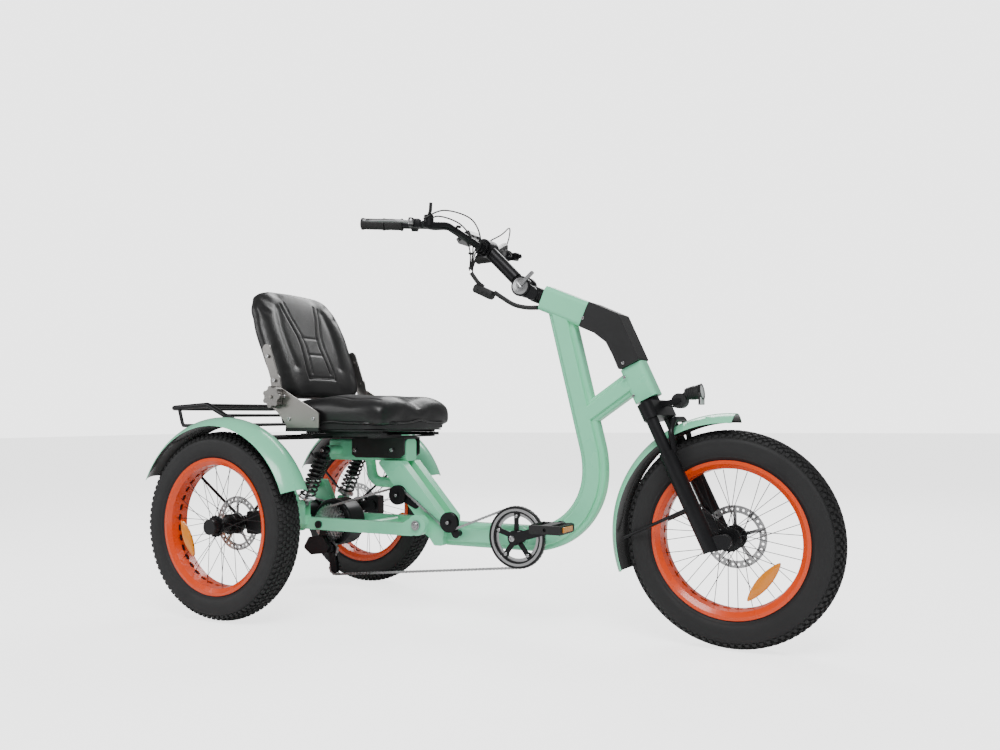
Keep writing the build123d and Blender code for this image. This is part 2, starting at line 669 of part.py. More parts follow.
with BuildPart() as shock_bodies:
    for sign in (-1, 1):
        y = sign * SHOCK_Y
        disc(*SHOCK_TOP, y - 10, y + 10, 13)
        barrel(shock_plane(y, 8), 15, 96)
        barrel(shock_plane(y, 22), 29, 6)
        barrel(shock_plane(y, 30), 6 + FIT, 80, mode=Mode.SUBTRACT)
        disc(*SHOCK_TOP, y - 12, y + 12, 6 + FIT, mode=Mode.SUBTRACT)
save(shock_bodies.part, "shock_bodies")

with BuildPart() as shock_rods:
    for sign in (-1, 1):
        y = sign * SHOCK_Y
        barrel(shock_plane(y, 72), 6, SHOCK_LENGTH - 84)
        barrel(shock_plane(y, 170), 29, 6)
        disc(*SHOCK_FOOT, y - 9.5, y + 9.5, 13)
        disc(*SHOCK_FOOT, y - 12, y + 12, 6.5, mode=Mode.SUBTRACT)
save(shock_rods.part, "shock_rods")

with BuildPart() as shock_springs:
    for sign in (-1, 1):
        start = shock_plane(sign * SHOCK_Y, 32.5)
        with BuildLine() as coil:
            Helix(pitch=16.5, height=133, radius=23, center=start.origin, direction=start.z_dir)
        with BuildSketch(Plane(origin=coil.line @ 0, z_dir=coil.line % 0)) as wire:
            Circle(3.6)
        sweep(wire.sketch, path=coil.line, is_frenet=True)
save(shock_springs.part, "shock_springs")

# ----------------------------------------------------------------------------------------- fork
CROWN_LOW_S, CROWN_HIGH_S = 350.0, 396.0
STANCHION_R, LOWER_R, STEERER_R = 17.0, 22.5, 14.3
AXLE_LOCAL = FORK.to_local_coords(Vector(REAR_X + WHEELBASE, 0, TYRE_R))
LAMP_X, LAMP_Z, LAMP_TILT = 1364.0, 678.0, (1348.0, 660.0)
lamp_rise = radians(8)
LAMP = Plane(
    origin=(REAR_X + LAMP_X, 0, LAMP_Z), x_dir=(0, 1, 0), z_dir=(cos(lamp_rise), 0, sin(lamp_rise))
)


def leg_plane(sign, s):
    """Plane across a fork leg, s up the steering axis."""
    return Plane(origin=FORK.from_local_coords((LEG_X, sign * LEG_Y, s)), x_dir=(0, 1, 0), z_dir=FORK.z_dir)


with BuildPart() as fork_crown:
    with BuildSketch(FORK.offset(CROWN_LOW_S)) as crown:
        with Locations((LEG_X, -LEG_Y), (LEG_X, LEG_Y)):
            Circle(22)
        Circle(31)
        make_hull()
    extrude(crown.sketch, amount=CROWN_HIGH_S - CROWN_LOW_S)
    barrel(FORK.offset(CROWN_HIGH_S), 27, 16)
    barrel(FORK.offset(CROWN_HIGH_S), STEERER_R, STEER_JOINT_S - CROWN_HIGH_S - 26)
    barrel(FORK.offset(STEER_JOINT_S - 30), 8, 28)
    with Locations(FORK.from_local_coords((0, 0, STEER_JOINT_S))):
        Sphere(14)
    for sign in (-1, 1):
        barrel(leg_plane(sign, 150), STANCHION_R, CROWN_HIGH_S - 150)
    # lamp bracket
    for span in mirrored(16.4, 20):
        link((1288, 650), LAMP_TILT, *span, 14)
    disc(*LAMP_TILT, -20, 20, 3)
save(fork_crown.part, "fork_crown")

with BuildPart() as fork_lowers:
    for sign in (-1, 1):
        barrel(leg_plane(sign, -32), LOWER_R, 282)
    for span in mirrored(67, 90):
        link((LEG_X, -14), (AXLE_LOCAL.X, AXLE_LOCAL.Z), *span, 38, upright=fork_side)
    arch_half = [(27, 79, 240), (42, 79, 296), (54, 44, 326)]
    rod([(x, -y, s) for x, y, s in arch_half] + arch_half[::-1], 8, 20, plane=FORK)
    for sign in (-1, 1):
        barrel(leg_plane(sign, 108), STANCHION_R + FIT, 200, mode=Mode.SUBTRACT)
    # wheel axle with its shoulders
    disc(WHEELBASE, TYRE_R, -90, 90, AXLE_R)
    for span in mirrored(49, 68):
        disc(WHEELBASE, TYRE_R, *span, 12)
    # brake caliper inside the left leg
    link((0, 18), (-8, 62), 32.4, 60, 36, upright=fork_side)
    disc(WHEELBASE, TYRE_R, 36.6, 41.4, 88, mode=Mode.SUBTRACT)
    # stays of the mudguard
    for sign in (-1, 1):
        rod([(1389, sign * 96, 372), (1300, sign * 74, 330), (1196, sign * 60, 282)], 4.5, 60)
        disc(1389, 372, *sorted((sign * 78, sign * 101)), 7)
save(fork_lowers.part, "fork_lowers")

with BuildPart() as front_fender:
    add_fender(WHEELBASE, 0, 199, 86.5)
save(front_fender.part, "front_fender")

with BuildPart() as headlamp:
    with BuildSketch(LAMP):
        Circle(15)
    with BuildSketch(LAMP.offset(46)):
        Circle(22)
    loft()
    link((LAMP_X + 8, LAMP_Z), LAMP_TILT, -9, 9, 22)
    disc(*LAMP_TILT, -16, 16, 21)
    plate([(1404, 648), (1409, 648), (1409, 674), (1404, 674)], -20, 20)
    disc(*LAMP_TILT, -18, 18, 3 + FIT, mode=Mode.SUBTRACT)
save(headlamp.part, "headlamp")

# ------------------------------------------------------------------------------------- steering
hinge_point = NECK.from_local_coords((HINGE_X, 0, HINGE_N))
HINGE = (hinge_point.X - REAR_X, hinge_point.Z)
stem_length = hypot(BAR_X - HINGE[0], BAR_Z - HINGE[1])
stem_dir = ((BAR_X - HINGE[0]) / stem_length, (BAR_Z - HINGE[1]) / stem_length)


def on_stem(distance):
    """A point of the stem, at a distance from its hinge."""
    return (HINGE[0] + stem_dir[0] * distance, 0, HINGE[1] + stem_dir[1] * distance)


COLUMN_R = 14.0
with BuildPart() as steering_column:
    barrel(NECK.offset(STEER_JOINT_N + 17), COLUMN_R, 3 - STEER_JOINT_N - 17)
    with Locations(NECK.from_local_coords((0, 0, STEER_JOINT_N))):
        Sphere(19)
        Sphere(14.4, mode=Mode.SUBTRACT)
    barrel(NECK.offset(STEER_JOINT_N - 20), 22, 22, mode=Mode.SUBTRACT)
    barrel(NECK.offset(2), 22, 52)
    for span in mirrored(14.6, 27):
        disc(*HINGE, *span, 31)
    collar_top = NECK.from_local_coords((0, 0, 42))
    neck_point = (collar_top.X - REAR_X, collar_top.Z)
    for span in mirrored(14.6, 24):
        link(neck_point, HINGE, *span, 40)
    disc(*HINGE, -14.5, 14.5, 28, mode=Mode.SUBTRACT)
    disc(*HINGE, -27, 27, 5)
save(steering_column.part, "steering_column")

with BuildPart() as stem:
    disc(*HINGE, -14, 14, 27)
    rod([on_stem(15), on_stem(45)], 14)
    rod([on_stem(38), on_stem(stem_length - 6)], 20)
    disc(BAR_X, BAR_Z, -25, 25, 28)
    disc(BAR_X, BAR_Z, -30, 30, 15.95, mode=Mode.SUBTRACT)
    disc(*HINGE, -30, 30, 5 + FIT, mode=Mode.SUBTRACT)
save(stem.part, "stem")

bar_half = [(BAR_X, 52, BAR_Z), (705, 180, 1186), GRIP_IN, GRIP_OUT]
bar_route = [(x, -y, z) for x, y, z in reversed(bar_half)] + bar_half
with BuildPart() as handlebar:
    rod(bar_route, BAR_R, 42)
    disc(BAR_X, BAR_Z, -50, 50, 15.9)
save(handlebar.part, "handlebar")


def grip_plane(sign, along=0.0):
    """Plane across a grip: local x points outboard of it, local z along it to the bar's end."""
    start = Vector(REAR_X + GRIP_IN[0], sign * GRIP_IN[1], GRIP_IN[2])
    end = Vector(REAR_X + GRIP_OUT[0], sign * GRIP_OUT[1], GRIP_OUT[2])
    run = (end - start).normalized()
    outboard = run.cross(Vector(0, 0, sign)).normalized()
    return Plane(origin=start + run * along, x_dir=outboard, z_dir=run)


GRIP_R, GRIP_HOLE = 16.5, BAR_R + FIT
with BuildPart() as grips:
    barrel(grip_plane(1, 12), GRIP_R, 131, GRIP_HOLE)
    barrel(grip_plane(-1, 73), GRIP_R, 70, GRIP_HOLE)
save(grips.part, "grips")

with BuildPart() as throttle:
    barrel(grip_plane(-1, 20), GRIP_R + 1, 52, BAR_R + 0.3)
save(throttle.part, "throttle")

LEVER_PIVOT = (44, -14)


def ear_plane(grip):
    """Upright planes along a grip, as a function of their place across it."""
    return lambda y: Plane(origin=grip.from_local_coords((0, y, 0)), x_dir=grip.x_dir, z_dir=-grip.y_dir)


with BuildPart() as bar_clamps:
    for sign in (-1, 1):
        grip = grip_plane(sign)
        barrel(grip_plane(sign, -24), 18, 16)
        link((10, -16), (26, -15), -12, 12, 14, upright=ear_plane(grip))
        for span in mirrored(8.4, 12):
            link((24, -15), LEVER_PIVOT, *span, 14, upright=ear_plane(grip))
        disc_line = [(LEVER_PIVOT[0], y, LEVER_PIVOT[1]) for y in (-12, 12)]
        rod(disc_line, 3, plane=grip)
    # shifter housing over the right side of the bar
    rod([(675, -235, 1178), (675, -235, 1202)], 15)
    rod(bar_route, GRIP_HOLE, 42, mode=Mode.SUBTRACT)
save(bar_clamps.part, "bar_clamps")

for side_name, sign in (("left", 1), ("right", -1)):
    grip = grip_plane(sign)
    with BuildPart() as brake_lever:
        rod([(44, -8, -14), (44, 8, -14)], 8, plane=grip)
        rod([(44, 0, -14), (57, 0, 30), (51, 0, 116)], 5.5, 80, plane=grip)
        rod([(44, -9, -14), (44, 9, -14)], 3 + FIT, plane=grip, mode=Mode.SUBTRACT)
    save(brake_lever.part, f"brake_lever_{side_name}")

with BuildPart() as shifter:
    rod([(675, -235, 1202.4), (675, -235, 1210)], 14)
    rod([(675, -235, 1208), (692, -252, 1218), (700, -262, 1238)], 5, 10)
save(shifter.part, "shifter")

with BuildPart() as display:
    screen_plane = Plane(origin=(REAR_X + 676, 0, 1176), x_dir=(0, 1, 0), z_dir=(-0.5, 0, 0.866))
    with BuildSketch(screen_plane) as screen:
        RectangleRounded(78, 52, 9)
    extrude(screen.sketch, amount=15, both=False)
    for y in (-34, 34):
        rod([(690, y, 1180), (BAR_X - 3, y, BAR_Z + 12)], 5)
        disc(BAR_X, BAR_Z, y - 6, y + 6, 21)
    disc(BAR_X, BAR_Z, -45, 45, 15.95, mode=Mode.SUBTRACT)
save(display.part, "display")

LOOM = [(776, -20, 1001), (806, -21, 981), (843, -20, 959), (884, -19, 948), (923, -20, 945)]
CABLES = [(722, -62, 1136), (706, -58, 1105), (707, -46, 1065), (722, -30, 1036), (737, -22, 1021)]
with BuildPart() as wiring:
    rod(CABLES, 7, 22)
    with BuildSketch(Plane(origin=(REAR_X + 738, -20, 990), x_dir=(1, 0, 0), z_dir=(0, 0, 1))) as junction:
        RectangleRounded(76, 34, 9)
    extrude(junction.sketch, amount=31)
    rod(LOOM, 8, 30)
save(wiring.part, "wiring")

lever_dir = (0.775, 0.632)
LEVER_Y = -34.0
with BuildPart() as tilt_lever:
    lever_end = (HINGE[0] + lever_dir[0] * 56, HINGE[1] + lever_dir[1] * 56)
    link(HINGE, lever_end, LEVER_Y - 3, LEVER_Y + 3, 11)
    barrel_dir = Vector(-lever_dir[1], 0, lever_dir[0])
    middle = Vector(REAR_X + HINGE[0], LEVER_Y, HINGE[1])
    barrel(Plane(origin=middle - barrel_dir * 9, z_dir=barrel_dir), 5.4, 18)
save(tilt_lever.part, "tilt_lever")

# ----------------------------------------------------------------------------------------- seat
ARM_BOLTS = [(47, 822), (76, 743)]
RECLINER = [(52, 668), (66, 712), (102, 720), (142, 698), (262, 636), (262, 602), (128, 602), (92, 640)]
with BuildPart() as seat_base:
    for rail in mirrored(RAIL_Y - 10, RAIL_Y + 10):
        plate([(150, 571.6), (440, 571.6), (440, 578), (150, 578)], *rail)
    with BuildSketch(Plane(origin=(REAR_X + 268, 0, 578))) as pan:
        RectangleRounded(388, 400, 50)
        with Locations((-76, 0)):
            Rectangle(110, 458)
    extrude(pan.sketch, amount=4)
    for span in mirrored(226.5, 231.5):
        plate([(126, 578), (260, 578), (262, 604), (128, 604)], *span)
        plate(RECLINER, *span, 7)
    for span in mirrored(219, 232):
        disc(RECLINE_X, RECLINE_Z, *span, 6)
    disc(RECLINE_X, RECLINE_Z, -262, -231, 6)
save(seat_base.part, "seat_base")

CUSHION = [(98, 584), (470, 584), (486, 606), (486, 656), (462, 682), (330, 688), (200, 680), (98, 664)]
with BuildPart() as seat_cushion:
    plate(CUSHION, -SEAT_HALF, SEAT_HALF, 9)
    fillet(seat_cushion.edges().group_by(Axis.Z)[-1], 12)
save(seat_cushion.part, "seat_cushion")

BACK_HALF = [(150, 22), (203, 60), (214, 150), (208, 230), (184, 330), (150, 378), (60, 388)]
with BuildPart() as backrest:
    with BuildSketch(BACK.offset(-36)) as outline:
        with BuildLine():
            Polyline(*BACK_HALF, *[(-x, y) for x, y in reversed(BACK_HALF)], close=True)
        make_face()
        fillet(outline.vertices(), 18)
    extrude(outline.sketch, amount=74)
save(backrest.part, "backrest")

with BuildPart() as recliner_arms:
    for span in mirrored(219.6, 225.6):
        link((RECLINE_X, RECLINE_Z), ARM_BOLTS[1], *span, 40)
        link(ARM_BOLTS[1], (38, 846), *span, 32)
        disc(RECLINE_X, RECLINE_Z, *span, 24)
    disc(RECLINE_X, RECLINE_Z, -240, 240, 6 + FIT, mode=Mode.SUBTRACT)
    for bolt in ARM_BOLTS:
        for span in mirrored(215, 230):
            disc(*bolt, *span, 6)
save(recliner_arms.part, "recliner_arms")

with BuildPart() as recliner_knob:
    with BuildSketch(side(-233)):
        with Locations((RECLINE_X, RECLINE_Z)):
            Circle(29)
            with PolarLocations(28, 7):
                Circle(8)
    extrude(amount=24)
    disc(RECLINE_X, RECLINE_Z, -270, -220, 6 + FIT, mode=Mode.SUBTRACT)
save(recliner_knob.part, "recliner_knob")

# ----------------------------------------------------------------------------- bearings and bolts
with BuildPart() as frame_hardware:
    for s in (HEAD_LOW_S, HEAD_CORE_S - 10):
        barrel(FORK.offset(s), 22.9, 10, STEERER_R + FIT)
    for n in (-12, NECK_CORE_N):
        barrel(NECK.offset(n), 22.9, 12, COLUMN_R + FIT)
    for span in mirrored(25, 40):
        disc(CRANK_X, CRANK_Z, *span, 18.9, 8.5 + FIT)
    disc(PIVOT_X, PIVOT_Z, -106, 106, 9)
    for span in mirrored(104.4, 111):
        disc(PIVOT_X, PIVOT_Z, *span, 15)
    for bolt in MOUNT_BOLTS:
        for span in mirrored(46, 50):
            disc(*bolt, *span, 7)
    for screw in ((1077, 902), (1198, 768)):
        for span in mirrored(42, 44):
            disc(*screw, *span, 4.5)
    for screw in ((1200, 728), (1226, 675)):
        for span in mirrored(38, 40):
            disc(*screw, *span, 4.5)
    for span in mirrored(SHOCK_Y - 16, SHOCK_Y + 13):
        disc(*SHOCK_TOP, *span, 6)
save(frame_hardware.part, "frame_hardware")
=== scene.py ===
from math import asin, atan2, cos, exp, hypot, pi, radians, sin

import bmesh
import bpy
import numpy as np
from mathutils import Matrix, Vector
from mathutils.bvhtree import BVHTree


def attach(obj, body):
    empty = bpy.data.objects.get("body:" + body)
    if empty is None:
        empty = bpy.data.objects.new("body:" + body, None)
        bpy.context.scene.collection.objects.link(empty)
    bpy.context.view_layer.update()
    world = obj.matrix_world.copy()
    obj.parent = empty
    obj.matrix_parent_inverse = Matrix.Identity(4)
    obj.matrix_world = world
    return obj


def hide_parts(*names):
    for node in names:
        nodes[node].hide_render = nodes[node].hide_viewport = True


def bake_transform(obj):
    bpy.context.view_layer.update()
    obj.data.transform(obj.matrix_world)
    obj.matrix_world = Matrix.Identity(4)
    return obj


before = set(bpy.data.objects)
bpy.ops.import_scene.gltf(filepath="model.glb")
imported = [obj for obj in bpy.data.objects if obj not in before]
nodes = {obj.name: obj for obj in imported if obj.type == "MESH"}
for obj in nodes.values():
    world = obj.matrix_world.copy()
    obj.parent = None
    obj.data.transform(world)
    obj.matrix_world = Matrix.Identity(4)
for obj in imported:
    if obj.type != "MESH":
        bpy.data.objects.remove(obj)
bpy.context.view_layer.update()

REAR_X = -0.69575  # the rear axle; positions below are in millimetres forward of it, left and up
WHEELBASE, TRACK, TYRE_R = 1483.0, 745.0, 290.0
NECK_TILT, RECLINE = radians(23.4), radians(22)


def at(x, y, z):
    """A point of the machine, in metres in the shared frame."""
    return Vector((x / 1000 + REAR_X, y / 1000, z / 1000))


# ------------------------------------------------------------------------------ camera and stage
camera_data = bpy.data.cameras.new("camera")
camera_data.lens = 32.02
camera_data.sensor_width = 36
camera = bpy.data.objects.new("camera", camera_data)
bpy.context.scene.collection.objects.link(camera)
forward = Vector((-0.4763, 0.8780, 0.0478)).normalized()
right = Vector((0.8788, 0.4772, -0.0073)).normalized()
up = right.cross(forward).normalized()
view_turn = Matrix((right, up, -forward)).transposed().to_4x4()
camera.matrix_world = Matrix.Translation(at(2084.2, -2402.2, 617.4)) @ view_turn
bpy.context.scene.camera = camera


# -------------------------------------------------------------------------------------- materials
class Finish:
    """A procedural material: colour, roughness and fine relief all vary over the surface."""

    def __init__(
        self, name, color, rough, metal=0.0, coat=0.0, grain=500.0, relief=0.1, blotch=9.0, tint=0.12
    ):
        self.material = bpy.data.materials.new(name)
        self.material.use_nodes = True
        self.tree = self.material.node_tree
        self.shader = self.tree.nodes["Principled BSDF"]
        self.shader.inputs["Metallic"].default_value = metal
        self.shader.inputs["Coat Weight"].default_value = coat
        self.shader.inputs["Coat Roughness"].default_value = 0.12
        self.place = self.node("ShaderNodeTexCoord").outputs["Object"]
        self.parts = self.node("ShaderNodeSeparateXYZ", self.place).outputs
        broad = self.noise(blotch, 4.0)
        fine = self.noise(grain, 2.0)
        dark = [c * (1 - tint) for c in color]
        self.color = self.mix(broad, dark, color)
        self.link(self.color, self.shader.inputs["Base Color"])
        self.rough(broad, rough * 0.85, min(1.0, rough * 1.2))
        self.relief(fine, relief)

    def node(self, kind, *sources):
        made = self.tree.nodes.new(kind)
        for k, source in enumerate(sources):
            self.link(source, made.inputs[k])
        return made

    def link(self, source, target):
        if isinstance(source, (int, float)):
            target.default_value = source
        else:
            self.tree.links.new(source, target)

    def noise(self, scale, detail=2.0, stretch=None):
        made = self.node("ShaderNodeTexNoise", self.stretched(stretch) if stretch else self.place)
        made.inputs["Scale"].default_value = scale
        made.inputs["Detail"].default_value = detail
        return made.outputs["Fac"]

    def stretched(self, scale):
        made = self.node("ShaderNodeMapping", self.place)
        made.inputs["Scale"].default_value = scale
        return made.outputs["Vector"]

    def cells(self, scale):
        made = self.node("ShaderNodeTexVoronoi", self.place)
        made.feature = "DISTANCE_TO_EDGE"
        made.inputs["Scale"].default_value = scale
        return made.outputs["Distance"]

    def math(self, operation, a, b=0.0):
        made = self.node("ShaderNodeMath", a, b)
        made.operation = operation
        return made.outputs[0]

    def span(self, value, low, high, to_low=0.0, to_high=1.0):
        made = self.node("ShaderNodeMapRange", value, low, high, to_low, to_high)
        return made.outputs[0]

    def mix(self, mask, low, high):
        made = self.node("ShaderNodeMix")
        made.data_type = "RGBA"
        self.link(mask, made.inputs["Factor"])
        for source, key in ((low, 6), (high, 7)):
            if isinstance(source, (list, tuple)):
                made.inputs[key].default_value = (*source, 1.0)
            else:
                self.link(source, made.inputs[key])
        return made.outputs[2]

    def rough(self, mask, low, high):
        self.link(self.span(mask, 0.3, 0.7, low, high), self.shader.inputs["Roughness"])

    def relief(self, height, strength, distance=0.0006):
        bump = self.node("ShaderNodeBump")
        bump.inputs["Strength"].default_value = strength
        bump.inputs["Distance"].default_value = distance
        self.link(height, bump.inputs["Height"])
        self.link(bump.outputs[0], self.shader.inputs["Normal"])

    def recolor(self, mask, color):
        """Another colour where the mask is 1."""
        self.color = self.mix(mask, self.color, color)
        self.link(self.color, self.shader.inputs["Base Color"])

    def painted_shade_facing_axle(self):
        """1 where the skin faces the wheel's axle, 0 on the outside; the mask of the painted shade under the
        fenders.
        """
        facing = self.node("ShaderNodeTexCoord").outputs["Normal"]
        normal = self.node("ShaderNodeSeparateXYZ", facing).outputs
        front = self.math("GREATER_THAN", self.parts[0], 0.3)
        axle = self.math("ADD", self.math("MULTIPLY", front, 1.483), REAR_X)
        across = self.math("MULTIPLY", normal[0], self.math("SUBTRACT", self.parts[0], axle))
        height = self.math("MULTIPLY", normal[2], self.math("SUBTRACT", self.parts[2], 0.29))
        return self.math("LESS_THAN", self.math("ADD", across, height), -0.08)

    def outside(self, y, z):
        """1 on parts further than y from the middle plane and above z, in metres."""
        wide = self.math("GREATER_THAN", self.math("ABSOLUTE", self.parts[1]), y)
        return self.math("MULTIPLY", wide, self.math("GREATER_THAN", self.parts[2], z))


GREEN = (0.27, 0.88, 0.54)
INK = (0.012, 0.012, 0.013)
green = Finish("mint_paint", GREEN, 0.3, coat=0.45, grain=900, relief=0.04, tint=0.05)
black_paint = Finish("black_paint", INK, 0.38, coat=0.15, grain=900, relief=0.12)
black_alloy = Finish("black_anodised", (0.016, 0.016, 0.018), 0.34, metal=0.55, grain=1400, relief=0.06)
plastic = Finish("moulded_plastic", (0.014, 0.014, 0.015), 0.52, grain=1500, relief=0.35)
gloss = Finish("gloss_plastic", (0.008, 0.008, 0.009), 0.12, coat=0.6, grain=300, relief=0.02)
steel = Finish("brushed_steel", (0.56, 0.56, 0.57), 0.3, metal=1.0, grain=1800, relief=0.08)
alloy = Finish("satin_alloy", (0.50, 0.50, 0.51), 0.34, metal=0.95, grain=1600, relief=0.08)
bolts = Finish("bolt_steel", (0.50, 0.50, 0.51), 0.24, metal=1.0, grain=2000, relief=0.05)
knob_metal = Finish("knob_metal", (0.27, 0.26, 0.25), 0.36, metal=0.9, grain=1200, relief=0.12)
wire = Finish("dark_wire", (0.02, 0.02, 0.022), 0.34, metal=0.5, grain=1500, relief=0.05)
dark_rubber = Finish("grip_rubber", (0.014, 0.014, 0.014), 0.72, grain=2200, relief=0.5)
amber = Finish("amber_lens", (0.98, 0.3, 0.002), 0.12, coat=0.8, grain=700, relief=0.02)
amber.relief(amber.cells(260), 0.6)
clear = Finish("clear_lens", (0.80, 0.81, 0.82), 0.1, coat=0.8, grain=700, relief=0.02)
clear.relief(clear.cells(300), 0.5)
seat_metal = Finish("seat_metal", INK, 0.38, coat=0.15, grain=900, relief=0.12)
plates = seat_metal.outside(0.226, 0.59)
seat_metal.recolor(plates, (0.30, 0.285, 0.27))
seat_metal.link(plates, seat_metal.shader.inputs["Metallic"])
fender_paint_with_painted_shade = Finish("fender_paint_with_painted_shade", GREEN, 0.26, coat=0.6, grain=700, relief=0.03, tint=0.05)
# painted shade: the fenders' inner faces, towards the wheels, are painted near-black
fender_paint_with_painted_shade.recolor(fender_paint_with_painted_shade.painted_shade_facing_axle(), (0.02, 0.02, 0.02))
cord_skin = Finish("cable_skin", (0.016, 0.016, 0.017), 0.45, grain=1500, relief=0.2)

vinyl = Finish("seat_vinyl", (0.009, 0.009, 0.0095), 0.36, coat=0.12, grain=700, relief=0.2, blotch=14)
vinyl_grain = vinyl.math("ADD", vinyl.cells(900), vinyl.math("MULTIPLY", vinyl.noise(60, 3.0), 0.5))
vinyl.relief(vinyl_grain, 0.28, 0.0008)

orange = Finish("orange_rim", (0.95, 0.075, 0.002), 0.26, coat=0.5, grain=800, relief=0.04, tint=0.1)
tyre_skin = Finish("tyre_rubber", (0.017, 0.017, 0.018), 0.62, grain=900, relief=0.35, tint=0.3)
rotor_steel = Finish("rotor_steel", (0.55, 0.55, 0.56), 0.26, metal=1.0, grain=600, relief=0.1)


# --------------------------------------------------------------------------------- mesh building
def frame_of(direction):
    """Two directions across a direction."""
    guide = Vector((0, 0, 1)) if abs(direction.z) < 0.9 else Vector((1, 0, 0))
    u = guide.cross(direction).normalized()
    return u, direction.cross(u).normalized()


def smooth(points, steps=8, closed=False):
    """A soft curve through the points."""
    count = len(points)
    runs = count if closed else count - 1
    found = []
    for k in range(runs):
        near = [k + d for d in (-1, 0, 1, 2)]
        p = [points[n % count] if closed else points[min(max(n, 0), count - 1)] for n in near]
        for j in range(steps):
            t = j / steps
            a = 2 * p[1] + (p[2] - p[0]) * t
            b = (2 * p[0] - 5 * p[1] + 4 * p[2] - p[3]) * t * t
            c = (3 * p[1] - p[0] - 3 * p[2] + p[3]) * t ** 3
            found.append((a + b + c) / 2)
    if not closed:
        found.append(points[-1])
    return found


class Shape:
    """Collects parts of one piece and makes the mesh."""

    def __init__(self):
        self.verts = []
        self.faces = []

    def rings(self, rings, closed=False, caps=True):
        """Skins a list of rings of points."""
        start, size, count = len(self.verts), len(rings[0]), len(rings)
        for ring in rings:
            self.verts += ring
        for k in range(count if closed else count - 1):
            a, b = start + k * size, start + ((k + 1) % count) * size
            for j in range(size):
                n = (j + 1) % size
                self.faces.append((a + j, a + n, b + n, b + j))
        if caps and not closed:
            self.faces.append(tuple(start + j for j in reversed(range(size))))
            self.faces.append(tuple(start + (count - 1) * size + j for j in range(size)))
        return self

    def tube(self, points, radius, sides=10, closed=False, flat=1.0, wave=None):
        """Round or flattened tube along points; wave gives a factor on the radius at each point."""
        count = len(points)
        rings = []
        u = None
        for k in range(count):
            before = points[k - 1] if (k or closed) else points[0]
            after = points[(k + 1) % count] if (k < count - 1 or closed) else points[-1]
            along = (after - before).normalized()
            if u is None:
                u = frame_of(along)[0]
            u = (u - along * u.dot(along)).normalized()
            v = along.cross(u)
            r = radius * (wave(k) if wave else 1.0)
            turns = [2 * pi * j / sides for j in range(sides)]
            rings.append([points[k] + u * r * cos(a) + v * r * flat * sin(a) for a in turns])
        return self.rings(rings, closed)

    def lathe(self, profile, centre, axis, sides=32, closed=False):
        """Turns (radius, along) points, in millimetres, about an axis."""
        axis = axis.normalized()
        u, v = frame_of(axis)
        rings = []
        for r, s in profile:
            turns = [2 * pi * j / sides for j in range(sides)]
            middle = centre + axis * s / 1000
            rings.append([middle + (u * cos(a) + v * sin(a)) * r / 1000 for a in turns])
        return self.rings(rings, closed)

    def block(self, centre, size, x_dir, z_dir, taper=0.85):
        """Six-sided block, in millimetres, with its top a little smaller."""
        x_dir, z_dir = x_dir.normalized(), z_dir.normalized()
        y_dir = z_dir.cross(x_dir)
        lx, ly, lz = [s / 2000 for s in size]
        rings = []
        for z, k in ((-lz, 1.0), (lz, taper)):
            corners = [(-lx * k, -ly * k), (lx * k, -ly * k), (lx * k, ly * k), (-lx * k, ly * k)]
            rings.append([centre + x_dir * a + y_dir * b + z_dir * z for a, b in corners])
        return self.rings(rings)

    def bevelled(self, centre, size, x_dir, z_dir, bevel=2.0):
        """Block with soft edges, in millimetres."""
        x_dir, z_dir = x_dir.normalized(), z_dir.normalized()
        y_dir = z_dir.cross(x_dir)
        lx, ly, lz = [s / 2 for s in size]
        rings = []
        for z, inset in ((-lz, bevel), (-lz + bevel, 0), (lz - bevel, 0), (lz, bevel)):
            ring = []
            for k in range(16):
                quarter, step = divmod(k, 4)
                turn = pi / 2 * quarter + pi / 6 * step
                sx, sy = ((1, 1), (-1, 1), (-1, -1), (1, -1))[quarter]
                a = sx * (lx - bevel) + (bevel - inset * 0.7) * cos(turn)
                b = sy * (ly - bevel) + (bevel - inset * 0.7) * sin(turn)
                ring.append(centre + (x_dir * a + y_dir * b + z_dir * z) / 1000)
            rings.append(ring)
        return self.rings(rings)

    def screw(self, point, axis, radius=6.0, height=4.0):
        """Round bolt head with a socket."""
        r, h = radius, height
        head = [(r, 0), (r, h * 0.7), (r * 0.82, h), (r * 0.5, h), (r * 0.45, h * 0.35), (0.05, h * 0.3)]
        return self.lathe(head, point, axis, 14)

    def build(self, name, finish, body=None, angle=35):
        """Makes the object, which rides on a body when one is given."""
        mesh = bpy.data.meshes.new(name)
        mesh.from_pydata([tuple(v) for v in self.verts], [], self.faces)
        return place(name, mesh, finish, body, angle)


def place(name, mesh, finish, body=None, angle=35):
    form = bmesh.new()
    form.from_mesh(mesh)
    bmesh.ops.recalc_face_normals(form, faces=form.faces)
    form.to_mesh(mesh)
    form.free()
    mesh.polygons.foreach_set("use_smooth", [True] * len(mesh.polygons))
    mesh.set_sharp_from_angle(angle=radians(angle))
    piece = bpy.data.objects.new(name, mesh)
    bpy.context.scene.collection.objects.link(piece)
    mesh.materials.append(finish.material)
    if body:
        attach(piece, body)
    return piece


Y = Vector((0, 1, 0))

